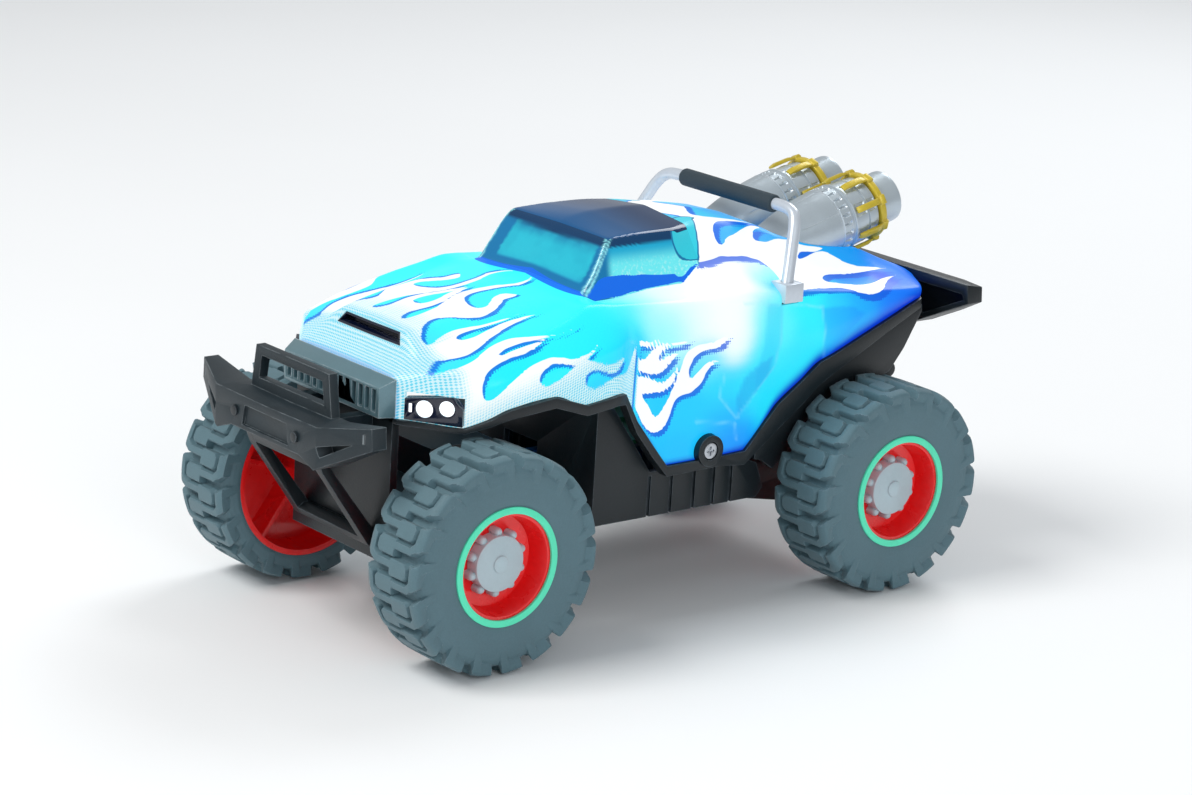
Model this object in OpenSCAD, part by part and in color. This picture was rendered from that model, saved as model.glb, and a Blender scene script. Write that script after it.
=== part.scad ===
/* [Overall] */
// Distance between the front and rear axle lines
wheelbase = 186; // [180:1:190]
// Radius of a tyre over its tread, which is also the height of the axle lines
tyre_r = 40; // [39:0.5:41]
// Width of a tyre
tyre_w = 28; // [24:1:30]
// Half of the overall width, to the outer faces of the tyres
half_track = 74.5; // [73:0.5:78]

/* [Body shell] */
// Wall thickness of the clear body shell
shell_wall = 2; // [1.6:0.1:2.4]
// Amount by which the skirt stands out from the shell
skirt_out = 1.6; // [1:0.1:2]
// Thickness of the tinted window canopy and of the roof panel
glass_t = 1.6; // [1.2:0.1:2]

/* [Wheels] */
// Number of tread blocks on each side of a tyre
tread_blocks = 18; // [14:1:22]
// Height of the tread blocks
tread_h = 3.6; // [2:0.1:4]
// Number of lugs round a hub cap
cap_lugs = 10; // [6:1:12]
// Outer radius of the coloured trim ring
ring_r = 21.4; // [20:0.1:22]
// Radius of the open inner side of a rim
dish_r = 28.5; // [26:0.1:29]
// Radius of the steel axles
axle_r = 2.5; // [2:0.1:3]

/* [Steering] */
// Distance of each kingpin from the centre line
kingpin_x = 40; // [39:0.5:41]
// Length of the knuckle arms, kingpin to rack pin
arm_l = 14; // [13:0.5:15]
// Teeth on the steering pinion
steer_teeth = 10; // [10:1:12]
// Module of the steering rack and pinion
steer_m = 0.8; // [0.7:0.05:0.8]

/* [Drive train] */
// Module of the drive gears
gear_m = 0.7; // [0.6:0.05:0.7]
// Teeth on the rear axle gear
axle_teeth = 36; // [32:1:38]
// Teeth on the small wheel of the compound gear
small_teeth = 12; // [11:1:13]
// Teeth on the large wheel of the compound gear
large_teeth = 30; // [28:1:32]
// Teeth on the motor pinion
pinion_teeth = 10; // [9:1:11]

/* [Boosters and roll bar] */
// Distance of each booster from the centre line
booster_x = 15.5; // [14:0.1:16]
// Upward tilt of the boosters
booster_tilt = 14; // [10:0.5:16]
// Number of claws round a booster
claws = 8; // [6:1:10]
// Radius of the roll bar tube
bar_r = 2.3; // [2:0.1:3]
// Radius of the foam pad on the roll bar
pad_r = 3.4; // [3:0.1:5]

/* [Grille and bumper] */
// Number of slots across the grille
grille_slots = 14; // [10:1:16]
// Wall thickness of the bumper and the rear wing
bumper_wall = 2.4; // [2:0.1:3]

/* [Hidden] */

// Axle lines: the front of the car looks along -Y
axle_z = tyre_r;
front_y = -wheelbase / 2;
rear_y = wheelbase / 2;
fine = 64;

// Running and standing gaps
run = 0.06;
gap = 0.3;

// Wheel stations along X, from the inner to the outer face
wheel_in = half_track - tyre_w;
web_in = half_track - 12.5;
web_out = half_track - 10;
cap_face = half_track - 4.3;
seat_r = dish_r + 2;

// Sections of the body, front to rear. Each row is the station's y, then the half outline as
// [x, z] points: centre, bulge or roof edge, crease, shoulder, flank and lower edge; then the
// depth of the skirt below the lower edge.
SECTIONS = [
    [-112,   [0, 99.6],  [14, 99.5],    [28, 99],      [30, 97],      [30.6, 91],   [30.4, 84.6],  1.9],
    [-103.5, [0, 105.9], [23.9, 105.3], [30.5, 103.4], [39.5, 101.6], [42, 94],     [42, 84.4],    1.9],
    [-100.2, [0, 112.6], [19.4, 111.9], [31, 105],     [44, 102.6],   [46.8, 95],   [46.6, 84.2],  1.9],
    [-97,    [0, 113.3], [20, 112.6],   [31.5, 106.2], [48, 103.5],   [50.6, 96],   [50.4, 84.2],  1.9],
    [-88,    [0, 115],   [21.5, 114.1], [32.4, 108.6], [49, 106.4],   [53.6, 98],   [53.2, 87],    2.6],
    [-81,    [0, 116.2], [22.3, 115.2], [33, 110.2],   [49, 108.8],   [55.2, 100],  [54.6, 89.8],  3.4],
    [-62,    [0, 118.8], [24, 117.4],   [34, 114],     [48.6, 113.6], [57, 103],    [56.2, 92.4],  3.8],
    [-48,    [0, 120.4], [26, 118.9],   [35, 117.4],   [46.4, 117.2], [57.4, 105],  [56.4, 87.8],  3.8],
    [-38,    [0, 121.4], [28, 120],     [35.6, 119.6], [43.8, 120],   [57, 107],    [56, 88.8],    3.8],
    [-32.5,  [0, 121.8], [31, 120.4],   [33.8, 119.2], [44, 119.8],   [56, 108],    [55, 89.2],    3.8],
    [-28,    [0, 127.6], [31.2, 126],   [33.8, 117.4], [44.6, 119.4], [54, 109],    [53, 88.6],    4],
    [-18.3,  [0, 139.5], [28.9, 138.8], [33.4, 117.8], [45.6, 118.6], [49.4, 107],  [48.6, 76],    4.6],
    [-10,    [0, 141.6], [28.8, 139.2], [33, 119],     [46.6, 118],   [50, 105],    [48.6, 65.6],  4.6],
    [-4,     [0, 142.2], [28.7, 139.4], [33, 119.6],   [47.2, 117.6], [50.8, 104],  [49.8, 57.6],  4],
    [10.4,   [0, 142.5], [28.4, 139.4], [33, 119.8],   [48.6, 117.2], [51.6, 102],  [50.2, 57.8],  3.8],
    [21,     [0, 142],   [24, 139.6],   [33.6, 126.8], [49.4, 117],   [51.9, 101],  [50.3, 58],    3.8],
    [33,     [0, 140.6], [18.8, 139],   [34.6, 126.2], [50.2, 116.6], [52.1, 100],  [50.3, 58.4],  5.4],
    [48,     [0, 138.2], [18.8, 137],   [35.4, 124.6], [50.6, 115.9], [52.1, 99],   [50.3, 74.4],  10.2],
    [60,     [0, 135.2], [20, 134.4],   [35.2, 122.4], [50.2, 115.2], [51.9, 99.4], [50.2, 82.4],  9.8],
    [68,     [0, 127],   [23, 131],     [34.8, 121],   [49.8, 114.4], [51.6, 100],  [50.1, 88],    9],
    [75,     [0, 124.4], [25, 129.2],   [34.6, 120],   [49.4, 113.6], [51.2, 100.6], [49.9, 90.2], 7.6],
    [90,     [0, 121],   [26, 126.8],   [34, 118],     [48.6, 111.8], [50, 103],    [49, 95.4],    6.2],
    [104,    [0, 118.6], [25.6, 123.6], [33.6, 116.2], [47.8, 110.8], [48.8, 105],  [48, 100.2],   4.8],
    [122,    [0, 115],   [24.8, 116.4], [33, 113.4],   [46.2, 109.8], [46.6, 107.6], [46, 105.8],  3.6],
    [133,    [0, 112.4], [20, 112.4],   [26, 111.8],   [31, 110.4],   [31.6, 108.6], [31, 107],    3]];
LAST = len(SECTIONS) - 1;

// The cab glass: side view of the opening, and the part of it under the roof panel
WINDOW_SIDE = [[-32.2, 119.9], [-27.4, 117.6], [-18, 118], [-4, 119.7], [14, 120.2], [20.6, 127],
    [20.6, 150], [-32.2, 150]];
ROOF_SIDE = [[-19.2, 137.8], [20.6, 137.8], [20.6, 150], [-19.2, 150]];

// Headlight face: it turns back from the nose at this angle, from this corner
lamp_turn = 36.87;
lamp_corner = [30.5, -112];
lamp_big_r = 3.1;
lamp_small_r = 2.8;
lamp_z = 89.9;

// Side screws that hold the shell
screw_y = 15.3;
screw_z = 61;
screw_head_r = 3;
screw_r = 1.4;

// Chassis tub
belly_z = 33;
tub_x = 44;
tub_wall = 2.5;
nose_x = 29.5;
tail_x = 30.5;
rack_y = front_y + arm_l;
king_r = 2;
knuckle_r = 4.2;
lower_arm_z = [29.5, 33];
upper_arm_z = [50, 53];

// Battery door: its hinge line and pins, and its screw
door_hinge = [-15.8, 34];
hinge_r = 0.8;
door_screw = [19.4, 4];

// Drive train, in the Y-Z plane round the rear axle
backlash_cd = 0.12;
shaft_angle = 150;
axle_pitch = gear_m * axle_teeth / 2;
small_pitch = gear_m * small_teeth / 2;
large_pitch = gear_m * large_teeth / 2;
motor_pitch = gear_m * pinion_teeth / 2;
shaft_cd = axle_pitch + small_pitch + backlash_cd;
motor_cd = large_pitch + motor_pitch + backlash_cd;
shaft_y = rear_y + shaft_cd * cos(shaft_angle);
shaft_z = axle_z + shaft_cd * sin(shaft_angle);
motor_y = shaft_y - motor_cd;
motor_z = shaft_z;
shaft_r = 1.5;
motor_shaft_r = 1;
box_in = [-4, 9];
box_wall = 2;
box_split = 2.7;

// Steering pinion beside the rack
steer_pitch = steer_m * steer_teeth / 2;
rack_pitch_y = rack_y + 4;
pinion_y = rack_pitch_y + steer_pitch + 0.1;
rack_z = [38.6, 42];

// Boosters: the middle of the nozzle's end, and stations back from it along the axis
nozzle_end = [booster_x, 128.7, 139];
BOOSTER = [[-68, 0], [-68, 7.6], [-46, 11.8], [-32, 13.1], [-27.6, 13.2], [-27, 12.4], [-26, 12.4],
    [-25.4, 13], [-19.5, 13], [-19, 12.2], [-18, 12.2], [-17.4, 12.8], [-13.5, 12.2], [-13.5, 9.6], [0,
        10], [0, 0]];

// Roll bar: one half of the tube's centre line, foot to middle
BAR = [[48.6, 50.6, 117.4], [42.2, 58, 134.6], [40.2, 60, 139.2], [38, 61.4, 142], [35.2, 62, 143.4],
    [31.6, 62.2, 143.9], [0, 62.2, 143.9]];
BAR_FOOT = [48.6, 51.2];
pad_half = 26.4;

// Front bumper outline, front view, right half, and the rear wing's
BUMPER = [[0, 85.6], [31.6, 86], [52.6, 89.7], [53.2, 82], [30.3, 70.4], [21.3, 73.6], [0, 73.6]];
bumper_front = -145.1;
bumper_back = -131;
WING = [[0, 112.6], [60.2, 112.6], [61.2, 105.4], [30.6, 91], [0, 91]];
wing_front = 133.4;
wing_back = 146;

// ---------- shared shapes ----------

// Places a shape so that its own Z axis runs along X, turning in the Y-Z plane
module along_x(y, z) {
    translate([0, y, z]) rotate([90, 0, 90]) children();
}

// A side-view outline pushed through a width from x0 to x1
module slab(x0, x1, outline) {
    translate([x0, 0, 0]) rotate([90, 0, 90]) linear_extrude(x1 - x0) polygon(outline);
}

// A front-view outline pushed through a depth from y0 to y1
module plate(y0, y1, outline) {
    translate([0, y1, 0]) rotate([90, 0, 0]) linear_extrude(y1 - y0) polygon(outline);
}

function flip(outline) = [for (p = outline) [-p.x, p.y]];
function both_halves(half) = concat(half, [for (i = [len(half) - 1:-1:0]) if (half[i].x > 0)
    [-half[i].x, half[i].y]]);

// A box given by its two corners
module block(a, b) {
    translate(a) cube(b - a);
}

module both_sides() {
    children();
    mirror([1, 0, 0]) children();
}

// Half outline pulled in by a wall, with its lower edge dropped to open the shell below
function inset(s, w, drop) = [
    [0, s[1].y - w], [s[2].x - 0.4 * w, s[2].y - w], [s[3].x - 0.7 * w, s[3].y - w],
    [s[4].x - w, s[4].y - 0.8 * w], [s[5].x - w, s[5].y], [s[6].x - w, s[6].y - drop]];
function ring_at(h, y) = concat(
    [for (i = [5:-1:0]) [h[i].x, y, h[i].y]],
    [for (i = [1:5]) [-h[i].x, y, h[i].y]]);

// A skin through closed rings, with flat ends
module skin(rings) {
    n = len(rings[0]);
    m = len(rings);
    faces = concat(
        [for (i = [0:m - 2], j = [0:n - 1])
            let (a = i * n + j, b = i * n + (j + 1) % n, c = a + n, d = b + n) [a, b, d]],
        [for (i = [0:m - 2], j = [0:n - 1])
            let (a = i * n + j, b = i * n + (j + 1) % n, c = a + n, d = b + n) [a, d, c]],
        [[for (j = [n - 1:-1:0]) j]],
        [[for (j = [0:n - 1]) (m - 1) * n + j]]);
    polyhedron(points = [for (r = rings, p = r) p], faces = faces, convexity = 8);
}

// The body's outer form, or the same form pulled in by w and open below
module body_form(w = 0, drop = 0) {
    ys = [for (i = [0:LAST]) SECTIONS[i][0] + (i == 0 ? w : i == LAST ? -w : 0)];
    skin([for (i = [0:LAST]) ring_at(inset(SECTIONS[i], w, drop), ys[i])]);
}

// A tube of radius r swept along points, with a level ring at each
module sweep(path, r, sides = 16) {
    n = len(path) - 1;
    skin([for (i = [0:n])
        let (d = path[min(i + 1, n)] - path[max(i - 1, 0)],
             t = d / norm(d),
             u = cross(t, [0, 1, 0]) / norm(cross(t, [0, 1, 0])),
             v = cross(t, u))
        [for (k = [0:sides - 1]) path[i] + r * (cos(360 * k / sides) * u + sin(360 * k / sides) * v)]]);
}

// Involute gear outline: teeth thinned for backlash, tips and roots cut short
function involute(rb, t) = let (a = t * 180 / PI - atan(t)) [rb * sqrt(1 + t * t), a];
function gear_points(teeth, m) =
    let (rp = teeth * m / 2, rb = rp * cos(20), ra = rp + 0.85 * m, rr = rp - 1.2 * m,
         half = 90 / teeth * 0.92 + tan(20) * 180 / PI - 20,
         t0 = rr > rb ? sqrt(pow(rr / rb, 2) - 1) : 0,
         ta = sqrt(pow(ra / rb, 2) - 1))
    [for (k = [0:teeth - 1])
        let (mid = 360 * k / teeth,
             flank = [for (i = [0:4]) involute(rb, t0 + (ta - t0) * i / 4)],
             up = concat(rr < rb ? [[rr, 0]] : [], flank))
        each concat(
            [for (p = up) [p[0] * cos(mid - half + p[1]), p[0] * sin(mid - half + p[1])]],
            [for (i = [len(up) - 1:-1:0]) let (p = up[i]) [p[0] * cos(mid + half - p[1]),
                p[0] * sin(mid + half - p[1])]])];
module gear(teeth, m, turn) {
    rotate(turn) polygon(gear_points(teeth, m));
}

// ---------- body ----------

module window_zone() {
    slab(-34, 34, WINDOW_SIDE);
}

module booster_cut() {
    both_sides() booster_place() rotate_extrude($fn = fine)
        polygon([[0, -69], [8.1, -69], [12.2, -46], [13.5, -32], [13.6, -25.4], [15.2, -25.4], [15.2,
            -8], [0, -8]]);
}

module body_shell() {
    color("deepskyblue") difference() {
        body_form();
        body_form(shell_wall, 30);
        window_zone();
        booster_cut();
        // Scoop mouth in the raised face of the bonnet
        plate(-104.6, -96, [[-19.6, 106.6], [19.6, 106.6], [16.8, 111], [-16.8, 111]]);
        both_sides() {
            lamp_place() translate([3.6, -2, -5.2]) cube([21.6, 6, 10]);
            foot_place() block([-4.5, -4.5, 112], [4.1, 4.5, 126]);
            translate([44, screw_y, screw_z]) rotate([0, 90, 0]) cylinder(r = 6.2, h = 12, $fn = fine);
        }
    }
}

module window_canopy() {
    color([0.1, 0.6, 0.7, 0.6]) difference() {
        intersection() {
            body_form();
            slab(-33.9, 33.9, [for (p = WINDOW_SIDE) [p.x + (p.x < 0 ? 0.15 : -0.15), p.y + 0.15]]);
        }
        body_form(glass_t, 30);
        slab(-28.2, 28.2, ROOF_SIDE);
    }
}

module roof_panel() {
    color("midnightblue") difference() {
        intersection() {
            body_form();
            slab(-28, 28, [for (p = ROOF_SIDE) [p.x + (p.x < 0 ? 0.15 : -0.15), p.y + 0.15]]);
        }
        body_form(glass_t, 30);
    }
}

// Dark tray that lines the scoop mouth
module scoop_insert() {
    color("darkslategray") difference() {
        intersection() {
            body_form();
            plate(-104.5, -96.2, [[-19.3, 106.8], [19.3, 106.8], [16.6, 110.8], [-16.6, 110.8]]);
        }
        plate(-104.6, -98, [[-18.2, 107.6], [18.2, 107.6], [16, 110.1], [-16, 110.1]]);
    }
}

module grille() {
    slot_pitch = 56.4 / grille_slots;
    color("silver") difference() {
        intersection() {
            slab(-33, 33, [[-118, 85], [-118, 95.8], [-112.3, 98.8], [-112.3, 85]]);
            linear_extrude(110) polygon([[-29.4, -118], [29.4, -118], [31.6, -112.2], [-31.6, -112.2]]);
        }
        for (i = [0:grille_slots - 1])
            translate([-28.2 + (i + 0.2) * slot_pitch, -119, 86.7]) cube([0.6 * slot_pitch, 4.6, 8]);
    }
}

// Lamp frame: X runs outward along the lamp face, Y into the body, Z is measured from the lamps
module lamp_place() {
    translate([lamp_corner.x, lamp_corner.y, lamp_z]) rotate([0, 0, lamp_turn]) children();
}

// The two round lamps and the slot lamp of one side, from depth y0 and h long
module lamps(y0, h) {
    translate([11.1, y0, -0.3]) rotate([-90, 0, 0]) cylinder(r = lamp_big_r, h = h, $fn = fine);
    translate([19.2, y0, 0.7]) rotate([-90, 0, 0]) cylinder(r = lamp_small_r, h = h, $fn = fine);
    translate([5.4, y0, -2]) cube([1.2, h, 3.2]);
}

module headlight_bezels() {
    color("black") both_sides() lamp_place() difference() {
        translate([0, 2.6, 0]) rotate([90, 0, 0]) linear_extrude(4)
            polygon([[3.9, 2.8], [21.4, 5], [25, 0.6], [25, -5.2], [3.9, -4.8]]);
        lamps(-1.6, 3.4);
    }
}

module headlight_lenses() {
    color("white") both_sides() lamp_place() {
        lamps(-1.1, 2.9);
    }
}

// Skirt along the shell's lower edge. Over the front tyres it reaches in to the nose box as a
// wheel arch liner; behind them it is a lip 3 mm deep.
module side_skirts() {
    rings = [for (s = SECTIONS)
        let (x = s[6].x, z = s[6].y - 0.05, d = s[7], y = s[0],
            in = y < -30 && y > -105 ? nose_x + gap : x - 3)
        [[x + skirt_out, y, z - d], [x + skirt_out, y, z], [in, y, z], [in, y, z - d]]];
    color("dimgray") both_sides() difference() {
        union() {
            skin(rings);
            translate([47.4, screw_y, screw_z]) rotate([0, 90, 0]) cylinder(r = 5.9, h = 5.6, $fn = fine);
        }
        translate([51, screw_y, screw_z]) rotate([0, 90, 0]) cylinder(r = 3.4, h = 3, $fn = fine);
        translate([46, screw_y, screw_z]) rotate([0, 90, 0]) cylinder(r = screw_r, h = 6, $fn = fine);
    }
}

module side_screws() {
    color("silver") both_sides() difference() {
        union() {
            translate([51, screw_y, screw_z]) rotate([0, 90, 0]) cylinder(r = screw_head_r, h = 1.7,
                $fn = fine);
            translate([38, screw_y, screw_z]) rotate([0, 90, 0]) cylinder(r = screw_r, h = 13.1,
                $fn = fine);
        }
        translate([52, screw_y, screw_z]) for (a = [0, 90]) rotate([a, 0, 0])
            block([0, -1.7, -0.35], [1.2, 1.7, 0.35]);
    }
}

// ---------- bumper, guard, roll bar, boosters, wing ----------

module front_bumper() {
    hoop = [[-25.4, 84], [-22.6, 101.3], [22.6, 101.3], [25.4, 84]];
    color("dimgray") difference() {
        union() {
            difference() {
                plate(bumper_front, bumper_back, both_halves(BUMPER));
                both_sides() {
                    translate([31.6, bumper_front, 60]) rotate([0, 0, 21]) translate([0, -12, 0])
                        cube([40, 12, 40]);
                    // Sloped chin under the outer ends
                    translate([21.3, bumper_front - 6, 60]) rotate([0, 0, 28]) rotate([18, 0, 0])
                        translate([0, -14, -10]) cube([60, 8, 22]);
                    // Triangular pocket in each outer end
                    plate(bumper_front - 1, -138.5, [[31.5, 79], [45.5, 82.6], [33, 75.5]]);
                }
                // Recess between the bolts
                plate(bumper_front - 1, bumper_front + 1.2, [[-13, 82.6], [13, 82.6], [14.6, 75.2],
                    [-14.6, 75.2]]);
                // Open back
                plate(bumper_front + 7, bumper_back + 1,
                    both_halves([[0, 83.4], [30.5, 83.6], [50, 87.2], [50, 84], [30.5, 74.6], [21, 76],
                        [0, 76]]));
            }
            difference() {
                plate(-134.6, -131, hoop);
                plate(-135, -130, [[-20.4, 89.6], [-18.9, 97.9], [18.9, 97.9], [20.4, 89.6]]);
            }
            // Two brackets to the chassis
            both_sides() block([13, bumper_front + 5, 76.2], [18, -112.1, 83.2]);
        }
        both_sides() translate([18.9, bumper_front - 1, 79.4]) rotate([-90, 0, 0]) cylinder(r = 1,
            h = 5, $fn = fine);
    }
}

module bumper_bolts() {
    color("black") both_sides() translate([18.9, bumper_front, 79.4]) rotate([90, 0, 0]) {
        cylinder(r = 1.9, h = 0.9, $fn = fine);
        translate([0, 0, -4]) cylinder(r = 1, h = 4, $fn = fine);
    }
}

// Frame of two struts and two cross bars that slopes from the bumper down to the chassis nose
module skid_guard() {
    strut = [[-138.6, 72.4], [-136, 66], [-115.4, 36.6], [-112.1, 36.6], [-112.1, 40.4], [-132.4, 67],
        [-134.8, 72.4]];
    color("dimgray") {
        both_sides() slab(19, 23, strut);
        slab(-19, 19, [[-115.4, 36.6], [-112.1, 36.6], [-112.1, 41], [-114.6, 41], [-117.2, 39.2]]);
        slab(-19, 19, [[-137.8, 70], [-136.3, 66.6], [-133, 66.6], [-134.6, 70]]);
    }
}

module roll_bar() {
    half = [for (p = BAR) p];
    path = concat(half, [for (i = [len(half) - 2:-1:0]) [-half[i].x, half[i].y, half[i].z]]);
    color("silver") sweep(path, bar_r);
}

module roll_bar_pad() {
    y = BAR[len(BAR) - 1].y;
    z = BAR[len(BAR) - 1].z;
    color("darkslategray") translate([-pad_half, y, z]) rotate([0, 90, 0]) difference() {
        cylinder(r = pad_r, h = 2 * pad_half, $fn = fine);
        translate([0, 0, -1]) cylinder(r = bar_r + 0.05, h = 2 * pad_half + 2, $fn = fine);
    }
}

module foot_place() {
    translate([BAR_FOOT.x, BAR_FOOT.y, 0]) children();
}

// Clamp blocks set into the shell's shoulders, each with a socket for the tube
module roll_bar_feet() {
    lean = BAR[1] - BAR[0];
    color("silver") both_sides() difference() {
        foot_place() block([-4.4, -4.4, 113], [4, 4.4, 120]);
        translate(BAR[0] - lean / 30) rotate([0, acos(lean.z / norm(lean)), atan2(lean.y, lean.x)])
            cylinder(r = bar_r + 0.1, h = 20, $fn = fine);
    }
}

module booster_place() {
    translate(nozzle_end) rotate([booster_tilt - 90, 0, 0]) children();
}

module booster() {
    color("silver") booster_place() difference() {
        rotate_extrude($fn = fine) polygon([for (p = BOOSTER) [p.y, p.x]]);
        translate([0, 0, -9]) cylinder(r = 8.4, h = 10, $fn = fine);
    }
}

// Gold ring with claws that reach forward over the booster's drum
module claw_ring() {
    color("goldenrod") booster_place() {
        difference() {
            translate([0, 0, -13.4]) cylinder(r = 13, h = 2.8, $fn = fine);
            translate([0, 0, -14]) cylinder(r = 9.8, h = 4, $fn = fine);
        }
        for (i = [0:claws - 1]) rotate(360 * (i + 0.5) / claws) {
            block([12.4, -1.3, -13.3], [14.8, 1.3, -10.6]);
            block([13.2, -1.3, -25], [14.8, 1.3, -13.2]);
        }
    }
}

module rear_wing() {
    color("dimgray") difference() {
        union() {
            difference() {
                intersection() {
                    plate(wing_front, wing_back, both_halves(WING));
                    slab(-70, 70, [[wing_front, 112.6], [wing_back, 110.4], [wing_back, 90],
                        [wing_front, 90]]);
                }
                // Hollow front side, one pocket each side of the middle
                both_sides() plate(wing_front - 1, wing_back - 2.6,
                    [[14, 108.4], [57.6, 108.4], [58.4, 106.4], [30, 93.4], [14, 93.4]]);
                // Ends swept forward
                both_sides() translate([46, wing_back, 80]) rotate([0, 0, -18]) cube([30, 20, 40]);
            }
            block([-14, 127.4, 92.6], [14, wing_front + 0.1, 105.6]);
        }
        // Two screw holes through the mounting block
        both_sides() translate([9, 120, 99]) rotate([-90, 0, 0]) cylinder(r = 1.6, h = 12, $fn = fine);
    }
}

// ---------- chassis ----------

module chassis_tub() {
    side = [[-32, belly_z], [44, belly_z], [50, 40], [46, 50], [34.4, 53.9], [-6, 53.6], [-27.6, 84.6],
        [-32, 84.6]];
    inner = [[-29.5, belly_z + 6], [44, belly_z + 6], [47, 40], [60, 90], [-29.5, 90]];
    color("dimgray") difference() {
        union() {
            difference() {
                slab(-tub_x, tub_x, side);
                slab(-tub_x + tub_wall, tub_x - tub_wall, inner);
                slab(-34, 34, [[-29.5, belly_z + tub_wall], [44, belly_z + tub_wall], [44, 60], [-29.5,
                    60]]);
                both_sides() block([34.5, -40, 30], [50, 60, 36.5]);
                // Fluted running boards
                for (y = [-6.5, 4, 15, 24.5, 33]) both_sides() block([tub_x - 1, y, 30], [tub_x + 1,
                    y + 1.4, 52]);
            }
            // Nose box under the bonnet
            difference() {
                block([-nose_x, -112, 31], [nose_x, -29.4, 50]);
                block([-nose_x + tub_wall, -109, 33.5], [nose_x - tub_wall, -29.5, 51]);
            }
            block([-nose_x, -112, 49], [nose_x, -109, 84.2]);
            // Tail box round the gearbox
            difference() {
                slab(-tail_x, tail_x, [[43.9, belly_z], [70, 28], [108, 28], [114, 40], [114.4, 74.6],
                    [111, 74.6], [108, 62], [43.9, 62]]);
                slab(-tail_x + tub_wall, tail_x - tub_wall, [[40, 35.5], [70, 30.5], [106, 30.5],
                    [111.4, 41], [111.4, 80], [40, 80]]);
                block([-6.5, 56, 20], [11.5, 110, 34]);
            }
            // Lower kingpin arms
            both_sides() {
                block([nose_x - 3, front_y - knuckle_r, lower_arm_z[0]], [kingpin_x,
                    front_y + knuckle_r, lower_arm_z[1]]);
                translate([kingpin_x, front_y, lower_arm_z[0]]) cylinder(r = knuckle_r, h = 3.5,
                    $fn = fine);
            }
            // Lugs for the side screws, board pillars and light board posts
            both_sides() {
                block([38, screw_y - 4, 38.9], [41.6, screw_y + 4, screw_z + 4]);
                for (y = [-14, 30]) translate([24, y, 35.4]) cylinder(r = 2.4, h = 23.6, $fn = fine);
                translate([31, 4, 35.4]) cylinder(r = 2.4, h = 52.6, $fn = fine);
            }
            block([17.2, -4, 35.4], [24, 12, 40]);
        }
        // Kingpins, axle bushes, rack, screws
        both_sides() {
            translate([kingpin_x, front_y, 20]) cylinder(r = king_r + run, h = 30, $fn = fine);
            translate([20, rear_y, axle_z]) rotate([0, 90, 0]) cylinder(r = 4.5, h = 20, $fn = fine);
            block([20, rack_y - 5.4, rack_z[0] - 0.4], [34, rack_y + 6, rack_z[1] + 0.4]);
            translate([30, screw_y, screw_z]) rotate([0, 90, 0]) cylinder(r = screw_r, h = 20, $fn = fine);
        }
        // Battery bay, switch slot and gearbox opening in the floor
        block([-17.4, -24, 30], [17, 32, 36]);
        translate([door_hinge.x, -25.6, door_hinge.y]) rotate([-90, 0, 0]) cylinder(r = hinge_r + run,
            h = 59.2, $fn = fine);
        block([16.9, -2, 30], [22.4, 10, 35.6]);
        translate([door_screw.x, door_screw.y, 30]) cylinder(r = 1.7, h = 12, $fn = fine);
        block([-27.5, -6, 30], [-22.5, 4, 36]);
        block([-5.6, -60, 28], [5.6, -40, 34]);
        // Way through from nose to middle, and from middle to tail
        block([-10, -33, 40], [10, -29, 60]);
        block([-24, 43, 38], [24, 52, 61]);
    }
}

// Upper rear frame: quarter panels inside the tyres and the sloping tail
module rear_frame() {
    panel = [[44.6, 55], [48, 63.8], [60, 72.2], [68, 78.6], [75, 82.2], [90, 88.8], [104, 95], [120,
        101.4],
        [125.6, 102.4], [125.8, 99.6], [117.8, 86], [111, 77.6], [95, 72], [70, 60], [54, 46.6], [48,
            50.8], [44.6, 51.6]];
    tail = [[108.8, 79], [111, 77.6], [117.8, 86], [125.8, 99.6], [127, 102], [127, 105.6], [124.6, 105.6],
        [124.4, 102], [115.6, 87.4]];
    color("dimgray") difference() {
        union() {
            both_sides() slab(41.4, 44.4, panel);
            intersection() {
                slab(-41.5, 41.5, tail);
                // The plate narrows above the panels, under the shell's tail
                plate(100, 130, [[-41.5, 70], [41.5, 70], [41.5, 101.6], [26, 103], [26, 106], [-26,
                    106], [-26, 103], [-41.5, 101.6]]);
            }
            translate([-43.6, 112, 77.8]) rotate([0, 90, 0]) cylinder(r = 2.8, h = 87.2, $fn = fine);
        }
        both_sides() translate([9, 115, 99]) rotate([-90, 0, 0]) cylinder(r = 1.6, h = 20, $fn = fine);
    }
}

module battery_pack() {
    color("seagreen") {
        for (x = [-8.6, 8.6]) translate([x, -22, 43.6]) rotate([-90, 0, 0]) cylinder(r = 7.2, h = 50,
            $fn = fine);
        block([-8, -21, 38], [8, 27, 49]);
    }
}

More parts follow.
